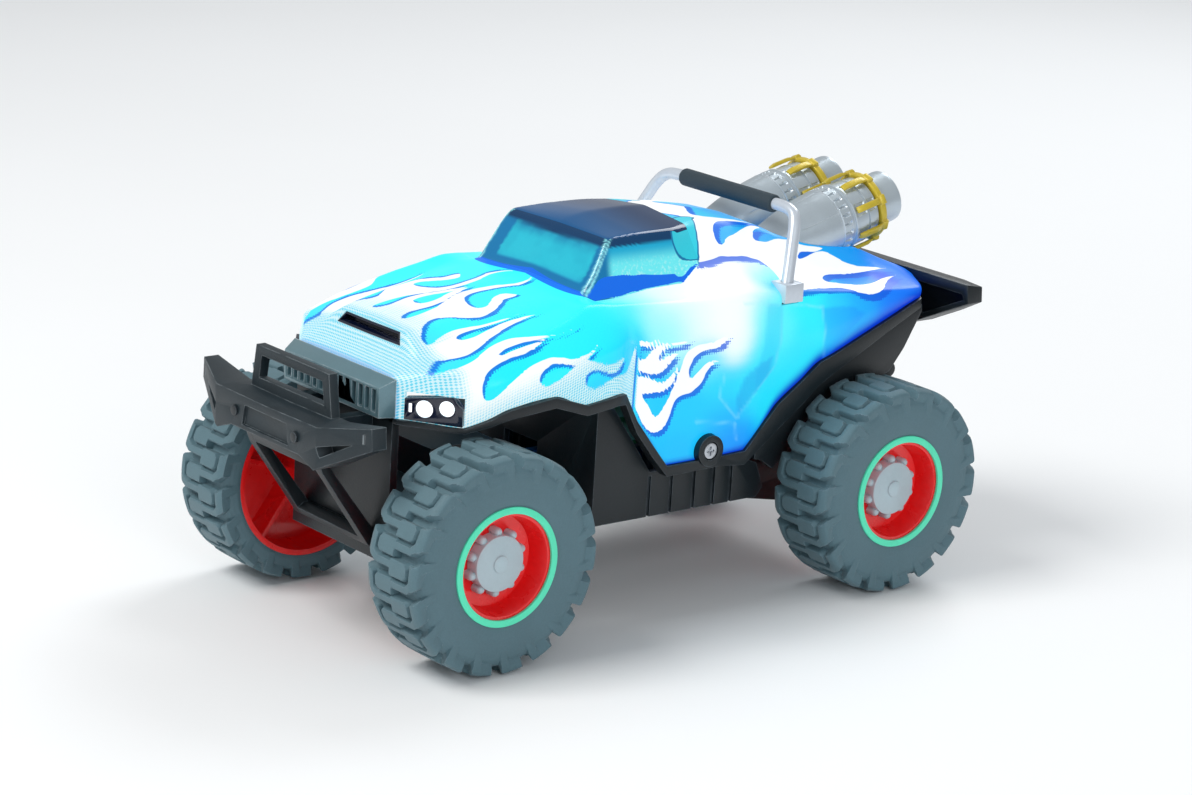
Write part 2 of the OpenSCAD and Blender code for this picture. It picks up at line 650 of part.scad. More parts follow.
module battery_door() {
    color("dimgray") difference() {
        union() {
            block([-16.7, -23.7, 33], [16.7, 31.7, 35]);
            block([16.6, -1.7, 33], [22.1, 9.7, 35]);
            // Hinge tongues
            for (y = [-16, 20]) block([-16.7, y, 34.9], [-13.6, y + 6, 36]);
            // Hinge pins at both ends
            translate([door_hinge.x, -25.3, door_hinge.y]) rotate([-90, 0, 0]) cylinder(r = hinge_r,
                h = 2, $fn = fine);
            translate([door_hinge.x, 31.3, door_hinge.y]) rotate([-90, 0, 0]) cylinder(r = hinge_r,
                h = 2, $fn = fine);
        }
        translate([door_screw.x, door_screw.y, 32]) cylinder(r = 2.2, h = 1.8, $fn = fine);
        translate([door_screw.x, door_screw.y, 32]) cylinder(r = 1.1, h = 5, $fn = fine);
        for (y = [-18, -14, -10, -6, -2, 10, 14, 18, 22, 26]) block([-9, y, 32], [6, y + 1.2, 33.6]);
    }
    color("silver") difference() {
        translate([door_screw.x, door_screw.y, 0]) {
            translate([0, 0, 33]) cylinder(r = 2.1, h = 0.8, $fn = fine);
            translate([0, 0, 33.7]) cylinder(r = 1.1, h = 4.1, $fn = fine);
        }
        for (a = [0, 90]) translate([door_screw.x, door_screw.y, 32.9]) rotate(a) block([-1.3, -0.25,
            0], [1.3, 0.25, 0.5]);
    }
}

module power_switch() {
    color("black") {
        block([-27.2, -4, 35.9], [-22.8, 2, 37.4]);
        block([-26.4, -2.8, 32], [-23.6, 0.8, 36]);
    }
}

module circuit_board() {
    color("green") difference() {
        block([-28, -20, 59], [28, 36, 60.6]);
        both_sides() for (y = [-14, 30]) translate([24, y, 50]) cylinder(r = 1.3, h = 20, $fn = fine);
        both_sides() block([27, -2, 58], [36, 10, 62]);
    }
    color("black") {
        block([-8, 0, 60.5], [6, 14, 62.6]);
        block([10, -14, 60.5], [18, -4, 66]);
        translate([-16, 22, 60.5]) cylinder(r = 4, h = 9, $fn = fine);
        translate([14, 24, 60.5]) cylinder(r = 3, h = 7, $fn = fine);
    }
}

module light_board() {
    color("white") block([-34, -6, 88], [34, 30, 89.4]);
    color("lightcyan") for (x = [-26, -9, 9, 26], y = [0, 24]) translate([x, y, 89.3]) {
        cylinder(r = 2.5, h = 3, $fn = 32);
        translate([0, 0, 3]) sphere(r = 2.5, $fn = 32);
    }
}

// ---------- steering ----------

module steering_cover() {
    color("dimgray") difference() {
        union() {
            block([-nose_x, -108.9, upper_arm_z[0]], [nose_x, -36, upper_arm_z[1]]);
            both_sides() {
                block([nose_x - 3, front_y - knuckle_r, upper_arm_z[0]], [kingpin_x,
                    front_y + knuckle_r, upper_arm_z[1]]);
                translate([kingpin_x, front_y, upper_arm_z[0]]) cylinder(r = knuckle_r, h = 3, $fn = fine);
            }
        }
        both_sides() translate([kingpin_x, front_y, 40]) cylinder(r = king_r + run, h = 20, $fn = fine);
        block([-16.2, pinion_y - 14.2, 49], [16.2, pinion_y + 14.2, 54]);
        block([-10, -60 + 8, 49], [10, -41, 54]);
    }
}

// Steering motor case, sunk through the cover, with the bore for the pinion's shaft
module steering_unit() {
    color("black") difference() {
        union() {
            block([-16, pinion_y - 14, 45], [16, pinion_y + 14, 66]);
            both_sides() block([15.9, pinion_y - 6, upper_arm_z[1]], [21, pinion_y + 6, 55.6]);
        }
        translate([0, pinion_y, 44]) cylinder(r = 1.5 + run, h = 12.3, $fn = fine);
        both_sides() translate([18.6, pinion_y, 50]) cylinder(r = 1.2, h = 8, $fn = fine);
    }
}

module steering_pinion() {
    color("ivory") translate([0, pinion_y, 0]) {
        translate([0, 0, rack_z[0] + 0.1]) linear_extrude(rack_z[1] - rack_z[0] - 0.2)
            gear(steer_teeth, steer_m, -90);
        translate([0, 0, rack_z[1] - 0.2]) cylinder(r = 2.6, h = 2.2, $fn = fine);
        translate([0, 0, rack_z[1]]) cylinder(r = 1.5, h = 14, $fn = fine);
    }
}

// Rack with teeth on its rear edge and a slotted eye for each knuckle pin
module steering_rack() {
    step = PI * steer_m;
    root = rack_pitch_y - 1.2 * steer_m;
    tip = rack_pitch_y + 0.85 * steer_m;
    color("white") difference() {
        union() {
            block([-40, rack_y - 3, rack_z[0]], [40, root, rack_z[1]]);
            for (k = [-4:3]) let (x = (k + 0.5) * step) translate([0, 0, rack_z[0]])
                linear_extrude(rack_z[1] - rack_z[0])
                polygon([[x - 0.92, root - 0.1], [x + 0.92, root - 0.1], [x + 0.3, tip], [x - 0.3, tip]]);
            both_sides() block([36.2, rack_y - 4.6, rack_z[0]], [43.6, rack_y + 3.4, rack_z[1]]);
        }
        both_sides() block([kingpin_x - 1.6, rack_y - 2.6, rack_z[0] - 1], [kingpin_x + 1.6,
            rack_y + 1.7, rack_z[1] + 1]);
    }
}

module knuckle() {
    z0 = lower_arm_z[1] + gap;
    z1 = upper_arm_z[0] - gap;
    color("black") difference() {
        union() {
            translate([kingpin_x, front_y, 0]) {
                translate([0, 0, z0]) cylinder(r = knuckle_r, h = z1 - z0, $fn = fine);
                translate([0, 0, lower_arm_z[0]]) cylinder(r = king_r, h = 3.9, $fn = fine);
                translate([0, 0, z1 - 0.1]) cylinder(r = king_r, h = 3.4, $fn = fine);
            }
            translate([kingpin_x, front_y, axle_z]) rotate([0, 90, 0]) cylinder(r = 4,
                h = wheel_in - kingpin_x, $fn = fine);
            // Arm back to the rack pin
            block([kingpin_x - 2.6, front_y, z0 + 1.2], [kingpin_x + 2.6, rack_y, rack_z[0] - 0.6]);
            translate([kingpin_x, rack_y, z0 + 1.2]) cylinder(r = 3, h = rack_z[0] - 0.6 - z0 - 1.2,
                $fn = fine);
            translate([kingpin_x, rack_y, z0 + 2]) cylinder(r = 1.5, h = 8, $fn = fine);
        }
        translate([kingpin_x - 3, front_y, axle_z]) rotate([0, 90, 0]) cylinder(r = axle_r, h = 12,
            $fn = fine);
    }
}

// Steel stub axle with a head outside the rim
module stub_axle() {
    color("silver") translate([0, front_y, axle_z]) rotate([0, 90, 0]) {
        translate([0, 0, kingpin_x - 3]) cylinder(r = axle_r, h = web_out - kingpin_x + 3.5, $fn = fine);
        translate([0, 0, web_out + gap]) cylinder(r = 4, h = 1.6, $fn = fine);
    }
}

// ---------- wheels ----------

// Side outline of a tyre's tread blocks; half a step turns the other side's blocks
module tread_outline(turn) {
    step = 360 / tread_blocks;
    base = tyre_r - tread_h;
    rotate(turn) polygon([for (k = [0:tread_blocks - 1], p = [[-0.36, -0.5], [-0.24, 1], [0.24, 1],
        [0.36, -0.5]])
        let (a = (k + p.x) * step, r = p.y < 0 ? base - 0.5 : tyre_r + 0.6) [r * cos(a), r * sin(a)]]);
}

module tyre(y) {
    base = tyre_r - tread_h;
    mid = (wheel_in + half_track) / 2;
    carcass = [[wheel_in, seat_r], [wheel_in, base - 3.4], [wheel_in + 1.6, base], [half_track - 1.8, base],
        [half_track - 0.2, base - 3.4], [half_track, base - 8], [half_track - 0.2, ring_r + 0.2],
        [web_out - 0.5, ring_r + 0.2], [web_out - 4, seat_r]];
    color("slategray") along_x(y, axle_z) {
        rotate_extrude($fn = 96) polygon([for (p = carcass) [p.y, p.x]]);
        intersection() {
            union() {
                translate([0, 0, wheel_in + 0.8]) linear_extrude(mid - wheel_in - 0.4)
                    tread_outline(-90 + 180 / tread_blocks);
                translate([0, 0, mid + 0.4]) linear_extrude(half_track - mid - 1.2) tread_outline(-90);
            }
            difference() {
                translate([0, 0, wheel_in]) cylinder(r = tyre_r, h = tyre_w, $fn = 96);
                translate([0, 0, wheel_in - 1]) cylinder(r = base - 1, h = tyre_w + 2, $fn = 96);
            }
        }
    }
}

// Rim: deep open dish inside, five ribs, a web, and the cup that the hub cap sits in.
// bore is the radius of its axle hole.
module rim(y, bore) {
    skin_r = [[wheel_in + 0.5, seat_r], [wheel_in + 0.5, dish_r], [web_in - 1, dish_r - 0.4], [web_in,
        dish_r - 3],
        [web_in, 6.5], [wheel_in + 0.8, 6], [wheel_in + 0.8, bore], [web_out, bore], [web_out, 16.6],
        [half_track - 1.2, 18], [half_track - 1.2, ring_r + 0.2], [web_out - 0.5, ring_r + 0.2],
            [web_out - 4, seat_r]];
    color("red") along_x(y, axle_z) {
        rotate_extrude($fn = 96) polygon([for (p = skin_r) [p.y, p.x]]);
        for (i = [0:4]) rotate(72 * i + 18) {
            block([6, -0.9, wheel_in + 6], [dish_r - 3.5, 0.9, web_in + 0.5]);
            block([6.1, -0.9, wheel_in + 6], [dish_r + 0.5, 0.9, web_in - 1.3]);
        }
    }
}

module trim_ring(y) {
    color("mediumaquamarine") along_x(y, axle_z) translate([0, 0, half_track - 1.2]) difference() {
        cylinder(r = ring_r + 0.2, h = 1.2, $fn = 96);
        translate([0, 0, -1]) cylinder(r = 19.1, h = 4, $fn = 96);
    }
}

module hub_cap(y) {
    color("lightgray") along_x(y, axle_z) difference() {
        union() {
            translate([0, 0, web_out]) cylinder(r = 10.3, h = cap_face - web_out, $fn = fine);
            translate([0, 0, cap_face - 0.1]) cylinder(r = 3, h = 1.1, $fn = fine);
            for (i = [0:cap_lugs - 1]) rotate(360 * i / cap_lugs) translate([11, 0, web_out])
                cylinder(r = 1.6, h = cap_face - web_out - 1, $fn = 32);
        }
        translate([0, 0, web_out - 1]) cylinder(r = 5.4, h = 3.8, $fn = fine);
    }
}

// ---------- drive train ----------

module rear_axle() {
    color("silver") along_x(rear_y, axle_z) translate([0, 0, -web_out - 1.6]) cylinder(r = axle_r,
        h = 2 * web_out + 3.2, $fn = fine);
}

module axle_gear() {
    color("white") along_x(rear_y, axle_z) difference() {
        union() {
            translate([0, 0, -3]) linear_extrude(5) gear(axle_teeth, gear_m, shaft_angle);
            translate([0, 0, -3.6]) cylinder(r = 5, h = 11.6, $fn = fine);
        }
        translate([0, 0, -10]) cylinder(r = axle_r, h = 30, $fn = fine);
    }
}

module compound_gear() {
    color("ivory") along_x(shaft_y, shaft_z) difference() {
        union() {
            translate([0, 0, -3.6]) linear_extrude(6.9) gear(small_teeth, gear_m,
                shaft_angle + 180 + 180 / small_teeth);
            translate([0, 0, 3.2]) linear_extrude(3.6) gear(large_teeth, gear_m, 180);
            translate([0, 0, 6.7]) cylinder(r = 3.4, h = 1.9, $fn = fine);
        }
        translate([0, 0, -10]) cylinder(r = shaft_r + run, h = 30, $fn = fine);
    }
}

module motor_pinion() {
    color("gold") along_x(motor_y, motor_z) {
        translate([0, 0, 2.9]) linear_extrude(4.3) gear(pinion_teeth, gear_m, 180 / pinion_teeth);
        translate([0, 0, -14]) cylinder(r = motor_shaft_r, h = 21.6, $fn = fine);
    }
}

module gear_shaft() {
    color("silver") along_x(shaft_y, shaft_z) translate([0, 0, box_in[0] - box_wall])
        cylinder(r = shaft_r, h = 17, $fn = fine);
}

// Gear case outline with its wall grown by w
module case_outline(w) {
    hull() {
        translate([rear_y, axle_z]) circle(r = axle_pitch + 1.6 + w, $fn = fine);
        translate([shaft_y, shaft_z]) circle(r = large_pitch + 1.4 + w, $fn = fine);
        translate([motor_y, motor_z]) circle(r = 5.4 + w, $fn = fine);
    }
}

module case_half(x0, x1, c0, c1) {
    difference() {
        translate([x0, 0, 0]) rotate([90, 0, 90]) linear_extrude(x1 - x0) case_outline(box_wall);
        translate([c0, 0, 0]) rotate([90, 0, 90]) linear_extrude(c1 - c0) case_outline(0);
        along_x(rear_y, axle_z) translate([0, 0, -20]) cylinder(r = 5.6, h = 40, $fn = fine);
        along_x(shaft_y, shaft_z) translate([0, 0, -20]) cylinder(r = shaft_r, h = 40, $fn = fine);
    }
}

module gearbox_left() {
    color("gray") case_half(box_split, box_in[1] + box_wall, box_split - 1, box_in[1]);
}

module gearbox_right() {
    color("gray") difference() {
        case_half(box_in[0] - box_wall, box_split - 0.05, box_in[0], box_split + 1);
        along_x(motor_y, motor_z) translate([0, 0, -20]) cylinder(r = 3.2, h = 40, $fn = fine);
    }
}

module axle_bushes() {
    color("peru") both_sides() along_x(rear_y, axle_z) translate([0, 0, tail_x - 4]) difference() {
        union() {
            cylinder(r = 4.5, h = 4, $fn = fine);
            translate([0, 0, 4]) cylinder(r = 6, h = 1.4, $fn = fine);
        }
        translate([0, 0, -1]) cylinder(r = axle_r + run, h = 10, $fn = fine);
    }
}

// Flat-sided motor can with its front boss in the gear case
module drive_motor() {
    color("silver") difference() {
        along_x(motor_y, motor_z) union() {
            intersection() {
                translate([0, 0, -26]) cylinder(r = 10, h = 19.9, $fn = fine);
                block([-7.6, -12, -30], [7.6, 12, 0]);
            }
            translate([0, 0, -6.2]) cylinder(r = 3.1, h = 1.8, $fn = fine);
        }
        along_x(motor_y, motor_z) translate([0, 0, -14.3]) cylinder(r = motor_shaft_r + run, h = 20,
            $fn = fine);
    }
}

chassis_tub();
rear_frame();
side_skirts();
body_shell();
window_canopy();
roof_panel();
scoop_insert();
grille();
headlight_bezels();
headlight_lenses();
front_bumper();
bumper_bolts();
skid_guard();
roll_bar();
roll_bar_pad();
roll_bar_feet();
booster();  // booster_left
mirror([1, 0, 0]) booster();  // booster_right
claw_ring();  // claws_left
mirror([1, 0, 0]) claw_ring();  // claws_right
rear_wing();
side_screws();
gearbox_left();
gearbox_right();
axle_bushes();
gear_shaft();
drive_motor();
steering_cover();
steering_unit();
battery_pack();
circuit_board();
light_board();
knuckle();  // knuckle_left
stub_axle();  // stub_axle_left
mirror([1, 0, 0]) knuckle();  // knuckle_right
mirror([1, 0, 0]) stub_axle();  // stub_axle_right
steering_rack();
steering_pinion();
tyre(front_y);  // front_tyre_left
rim(front_y, axle_r + run);  // front_rim_left
trim_ring(front_y);  // front_ring_left
hub_cap(front_y);  // front_cap_left
mirror([1, 0, 0]) tyre(front_y);  // front_tyre_right
mirror([1, 0, 0]) rim(front_y, axle_r + run);  // front_rim_right
mirror([1, 0, 0]) trim_ring(front_y);  // front_ring_right
mirror([1, 0, 0]) hub_cap(front_y);  // front_cap_right
rear_axle();
axle_gear();
tyre(rear_y);  // rear_tyre_left
rim(rear_y, axle_r);  // rear_rim_left
trim_ring(rear_y);  // rear_ring_left
hub_cap(rear_y);  // rear_cap_left
mirror([1, 0, 0]) tyre(rear_y);  // rear_tyre_right
mirror([1, 0, 0]) rim(rear_y, axle_r);  // rear_rim_right
mirror([1, 0, 0]) trim_ring(rear_y);  // rear_ring_right
mirror([1, 0, 0]) hub_cap(rear_y);  // rear_cap_right
compound_gear();
motor_pinion();
battery_door();
power_switch();
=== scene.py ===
"""RC stunt car: translucent flame-painted shell on lugged tyres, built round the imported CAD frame."""

import math

import bmesh
import bpy
import numpy as np
from mathutils import Matrix, Vector


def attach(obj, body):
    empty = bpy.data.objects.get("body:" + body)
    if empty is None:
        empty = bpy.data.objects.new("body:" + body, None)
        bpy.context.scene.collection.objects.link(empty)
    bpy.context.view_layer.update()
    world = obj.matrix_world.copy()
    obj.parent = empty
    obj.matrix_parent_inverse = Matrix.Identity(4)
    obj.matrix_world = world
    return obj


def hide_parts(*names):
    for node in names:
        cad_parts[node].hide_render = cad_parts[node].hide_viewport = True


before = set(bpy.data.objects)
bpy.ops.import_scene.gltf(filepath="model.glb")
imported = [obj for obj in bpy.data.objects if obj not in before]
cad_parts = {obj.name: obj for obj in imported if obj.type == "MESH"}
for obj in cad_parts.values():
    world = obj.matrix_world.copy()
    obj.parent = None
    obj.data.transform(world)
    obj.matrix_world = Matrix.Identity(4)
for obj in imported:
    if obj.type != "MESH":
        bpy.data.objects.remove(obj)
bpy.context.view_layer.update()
MM = 0.001
AXLE_Z, FRONT_Y, REAR_Y = 40.0, -93.0, 93.0
NOSE_Y, TAIL_Y = -112.0, 133.0


# ---------- modelling helpers (millimetres in, metres out) ----------

def select_only(obj):
    bpy.ops.object.select_all(action="DESELECT")
    obj.select_set(True)
    bpy.context.view_layer.objects.active = obj


def mesh_piece(name, points, faces):
    """A new object from points in millimetres and faces by index."""
    mesh = bpy.data.meshes.new(name)
    mesh.from_pydata([tuple(p) for p in np.asarray(points, float) * MM], [], [tuple(f) for f in faces])
    mesh.validate()
    obj = bpy.data.objects.new(name, mesh)
    bpy.context.scene.collection.objects.link(obj)
    return obj


def grid_faces(rows, columns, wrap_rows=False, wrap_columns=False):
    """Quads over a rows x columns grid of points."""
    a = np.arange(rows if wrap_rows else rows - 1)[:, None]
    b = np.arange(columns if wrap_columns else columns - 1)[None, :]
    a2, b2 = (a + 1) % rows, (b + 1) % columns
    quad = [a * columns + b, a2 * columns + b, a2 * columns + b2, a * columns + b2]
    return np.stack([np.broadcast_to(q, (a.shape[0], b.shape[1])) for q in quad], -1).reshape(-1, 4)


def smooth_by_angle(obj, degrees=32):
    select_only(obj)
    bpy.ops.object.shade_smooth_by_angle(angle=math.radians(degrees))


def face_outwards(obj):
    select_only(obj)
    bpy.ops.object.mode_set(mode="EDIT")
    bpy.ops.mesh.select_all(action="SELECT")
    bpy.ops.mesh.remove_doubles(threshold=1e-6)
    bpy.ops.mesh.normals_make_consistent(inside=False)
    bpy.ops.object.mode_set(mode="OBJECT")


def apply_modifier(obj, kind, **values):
    select_only(obj)
    m = obj.modifiers.new(kind.title(), kind)
    for key, value in values.items():
        setattr(m, key, value)
    bpy.ops.object.modifier_apply(modifier=m.name)


def round_edges(obj, width, segments=2, degrees=35):
    apply_modifier(obj, "BEVEL", width=width * MM, segments=segments, limit_method="ANGLE",
                   angle_limit=math.radians(degrees), use_clamp_overlap=True, miter_outer="MITER_ARC")


def merged_copy(node, name):
    """A welded copy of a CAD node, with its flat faces made whole."""
    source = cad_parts[node]
    obj = bpy.data.objects.new(name, source.data.copy())
    bpy.context.scene.collection.objects.link(obj)
    obj.data.materials.clear()
    select_only(obj)
    bpy.ops.object.mode_set(mode="EDIT")
    bpy.ops.mesh.select_all(action="SELECT")
    bpy.ops.mesh.remove_doubles(threshold=2e-6)
    bpy.ops.mesh.customdata_custom_splitnormals_clear()
    bpy.ops.mesh.dissolve_limited(angle_limit=math.radians(0.6))
    bpy.ops.object.mode_set(mode="OBJECT")
    return obj


def soft_copy(node, name, width, segments=2, degrees=35):
    """The CAD node's own shape with its sharp edges rounded, as a moulded part has them."""
    obj = merged_copy(node, name)
    if width:
        round_edges(obj, width, segments, degrees)
    smooth_by_angle(obj, 40)
    return obj


def place(obj, body, nodes, material):
    """The piece rides on its body, stands for its CAD nodes and takes its finish."""
    obj.data.materials.clear()
    obj.data.materials.append(material)
    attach(obj, body)
    if nodes:
        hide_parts(*nodes)
    return obj


def copy_of(obj, name, sign):
    """A copy of a left piece, mirrored to the right side where sign is -1."""
    copy = obj.copy()
    copy.data = obj.data.copy()
    bpy.context.scene.collection.objects.link(copy)
    copy.name = copy.data.name = name
    if sign < 0:
        copy.data.transform(MIRROR)
        copy.data.flip_normals()
    return copy


def move(obj, matrix):
    obj.data.transform(matrix)
    return obj


def shift(x, y, z):
    """The move by x, y, z in millimetres."""
    return Matrix.Translation(Vector((x, y, z)) * MM)


MIRROR = Matrix.Scale(-1, 4, (1, 0, 0))
Z_TO_X = Matrix.Rotation(math.pi / 2, 4, "Y")


def ball_curve(values, knots, at):
    """Smooth curve through values at knots that never overshoots them."""
    knots, values = np.asarray(knots, float), np.asarray(values, float)
    at = np.clip(at, knots[0], knots[-1])
    h = np.diff(knots)
    d = np.diff(values) / h
    m = np.zeros(len(knots))
    m[0], m[-1] = d[0], d[-1]
    for k in range(1, len(knots) - 1):
        if d[k - 1] * d[k] > 0:
            w1, w2 = 2 * h[k] + h[k - 1], h[k] + 2 * h[k - 1]
            m[k] = (w1 + w2) / (w1 / d[k - 1] + w2 / d[k])
    k = np.clip(np.searchsorted(knots, at, side="right") - 1, 0, len(knots) - 2)
    t = (at - knots[k]) / h[k]
    return ((1 + 2 * t) * (1 - t) ** 2 * values[k] + t * (1 - t) ** 2 * h[k] * m[k]
            + t * t * (3 - 2 * t) * values[k + 1] + t * t * (t - 1) * h[k] * m[k + 1])


def step(low, high, value):
    t = np.clip((value - low) / (high - low), 0, 1)
    return t * t * (3 - 2 * t)


def outline_distance(points, outline):
    """Signed distance from points to a closed outline: positive inside."""
    a = np.asarray(outline, float)
    b = np.roll(a, -1, axis=0)
    result = np.empty(len(points))
    for start in range(0, len(points), 4000):
        p = points[start:start + 4000, None, :]
        edge = (b - a)[None]
        rel = p - a[None]
        t = np.clip((rel * edge).sum(-1) / np.maximum((edge ** 2).sum(-1), 1e-12), 0, 1)
        far = np.sqrt(((rel - t[..., None] * edge) ** 2).sum(-1)).min(1)
        crosses = (a[None, :, 1] > p[..., 1]) != (b[None, :, 1] > p[..., 1])
        span = np.where(np.abs(edge[..., 1]) < 1e-12, 1e-12, edge[..., 1])
        x_at = a[None, :, 0] + (p[..., 1] - a[None, :, 1]) / span * edge[..., 0]
        inside = (crosses & (p[..., 0] < x_at)).sum(1) % 2 == 1
        result[start:start + 4000] = np.where(inside, far, -far)
    return result


def line_distance(points, line):
    """Distance of each point from an open line of straight pieces."""
    nearest = np.full(len(points), 1e9)
    for a, b in zip(line, line[1:]):
        a, b = np.array(a, float), np.array(b, float)
        along = np.clip(((points - a) @ (b - a)) / ((b - a) @ (b - a)), 0, 1)
        nearest = np.minimum(nearest, np.hypot(*(points - a - along[:, None] * (b - a)).T))
    return nearest


def flowing(points, steps=5):
    """A closed outline through the points; a point written twice is a sharp tip."""
    out = []
    n = len(points)
    p = [np.array(q, float) for q in points]
    for i in range(n):
        p0, p1, p2, p3 = p[i - 1], p[i], p[(i + 1) % n], p[(i + 2) % n]
        if np.allclose(p1, p2):
            continue
        if np.allclose(p0, p1):
            p0 = p1 - (p2 - p1) * 0.4
        if np.allclose(p2, p3):
            p3 = p2 + (p2 - p1) * 0.4
        for k in range(steps):
            t = k / steps
            out.append(0.5 * (2 * p1 + (p2 - p0) * t + (2 * p0 - 5 * p1 + 4 * p2 - p3) * t * t
                              + (3 * p1 - p0 - 3 * p2 + p3) * t ** 3))
    return np.array(out)


def tips(points):
    """Doubles each point marked with a third value, so the outline has a tip there."""
    return [q[:2] for p in points for q in ([p, p] if len(p) == 3 else [p])]


# ---------- shader groups ----------

BUMP_DEPTH = 0.0002

def group(name, inputs, outputs):
    tree = bpy.data.node_groups.new(name, "ShaderNodeTree")
    for label, kind, value in inputs:
        s = tree.interface.new_socket(label, in_out="INPUT", socket_type=kind)
        if value is not None:
            s.default_value = value
    for label, kind in outputs:
        tree.interface.new_socket(label, in_out="OUTPUT", socket_type=kind)
    return tree, tree.nodes.new("NodeGroupInput"), tree.nodes.new("NodeGroupOutput")


def node(tree, kind, links=None, **values):
    """Adds a shader node; links maps an input to a socket or a number."""
    n = tree.nodes.new(kind)
    for key, value in values.items():
        setattr(n, key, value)
    for key, value in (links or {}).items():
        if isinstance(value, bpy.types.NodeSocket):
            tree.links.new(value, n.inputs[key])
        else:
            n.inputs[key].default_value = value
    return n


def maths(tree, operation, a, b=0.0, c=0.0):
    n = tree.nodes.new("ShaderNodeMath")
    n.operation = operation
    for i, value in enumerate((a, b, c)):
        if isinstance(value, bpy.types.NodeSocket):
            tree.links.new(value, n.inputs[i])
        else:
            n.inputs[i].default_value = value
    return n.outputs[0]


def ramp(tree, value, low, high):
    """0 below low, 1 above high, smooth between."""
    n = node(tree, "ShaderNodeMapRange", {"Value": value, "From Min": low, "From Max": high},
             interpolation_type="SMOOTHSTEP")
    return n.outputs[0]


def mix(tree, factor, a, b):
    n = tree.nodes.new("ShaderNodeMix")
    n.data_type = "RGBA"
    for index, value in ((0, factor), (6, a), (7, b)):
        if isinstance(value, bpy.types.NodeSocket):
            tree.links.new(value, n.inputs[index])
        elif index == 0:
            n.inputs[0].default_value = value
        else:
            n.inputs[index].default_value = (*value[:3], 1)
    return n.outputs[2]


def object_place(tree):
    """Each point's place on the car."""
    return node(tree, "ShaderNodeTexCoord").outputs["Object"]


def noise(tree, where, scale, detail, roughness=0.5):
    values = {"Vector": where, "Scale": scale, "Detail": detail, "Roughness": roughness}
    return node(tree, "ShaderNodeTexNoise", values).outputs["Fac"]


def read_attribute(tree, name, output="Fac"):
    return node(tree, "ShaderNodeAttribute", attribute_name=name).outputs[output]


def texture_bump(tree, g, shader, strength):
    """Turns the grain group's height into the shader's normal."""
    values = {"Height": g.outputs["Height"], "Strength": strength, "Distance": BUMP_DEPTH}
    tree.links.new(node(tree, "ShaderNodeBump", values).outputs[0], shader.inputs["Normal"])


def grain_group():
    """Moulded surface: soft mottling of colour and sheen, and a fine texture."""
    tree, gin, gout = group(
        "moulded_grain",
        [("Colour", "NodeSocketColor", (1, 1, 1, 1)), ("Mottle", "NodeSocketFloat", 0.15),
         ("Patch size", "NodeSocketFloat", 60.0), ("Grain size", "NodeSocketFloat", 900.0),
         ("Roughness", "NodeSocketFloat", 0.5), ("Roughness spread", "NodeSocketFloat", 0.1)],
        [("Colour", "NodeSocketColor"), ("Roughness", "NodeSocketFloat"), ("Height", "NodeSocketFloat")])
    where = object_place(tree)
    patch = noise(tree, where, gin.outputs["Patch size"], 5.0, 0.6)
    fine = noise(tree, where, gin.outputs["Grain size"], 3.0, 0.6)
    cloud = maths(tree, "SUBTRACT", patch, 0.5)
    tone = maths(tree, "MULTIPLY", cloud, gin.outputs["Mottle"])
    speck = maths(tree, "MULTIPLY", maths(tree, "SUBTRACT", fine, 0.5),
                  maths(tree, "MULTIPLY", gin.outputs["Mottle"], 0.7))
    light = maths(tree, "ADD", 1.0, maths(tree, "MULTIPLY", maths(tree, "ADD", tone, speck), 2.0))
    hsv = node(tree, "ShaderNodeHueSaturation", {"Color": gin.outputs["Colour"], "Value": light})
    rough = maths(tree, "ADD", gin.outputs["Roughness"],
                  maths(tree, "MULTIPLY", cloud, gin.outputs["Roughness spread"]))
    tree.links.new(hsv.outputs[0], gout.inputs["Colour"])
    tree.links.new(rough, gout.inputs["Roughness"])
    tree.links.new(fine, gout.inputs["Height"])
    return tree


def edge_highlight_group():
    """Mask for a painted highlight along the outer edges, broken up by noise."""
    tree, gin, gout = group(
        "painted_edge_highlight", [("Width", "NodeSocketFloat", 0.0006), ("Amount", "NodeSocketFloat", 0.6)],
        [("Mask", "NodeSocketFloat")])
    geometry = node(tree, "ShaderNodeNewGeometry")
    soft = node(tree, "ShaderNodeBevel", {"Radius": gin.outputs["Width"]}, samples=4)
    turn = node(tree, "ShaderNodeVectorMath", {0: geometry.outputs["Normal"], 1: soft.outputs[0]},
                operation="DOT_PRODUCT").outputs["Value"]
    edge = ramp(tree, maths(tree, "SUBTRACT", 1.0, turn), 0.01, 0.12)
    broken = noise(tree, object_place(tree), 160.0, 4.0)
    mask = maths(tree, "MULTIPLY", edge, ramp(tree, broken, 0.3, 0.62))
    tree.links.new(maths(tree, "MULTIPLY", mask, gin.outputs["Amount"]), gout.inputs["Mask"])
    return tree


GRAIN, EDGE_HIGHLIGHT = grain_group(), edge_highlight_group()


def srgb(r, g, b):
    """Screen colour (0-255) as linear light."""
    def one(v):
        v /= 255
        return v / 12.92 if v <= 0.04045 else ((v + 0.055) / 1.055) ** 2.4
    return (one(r), one(g), one(b), 1)


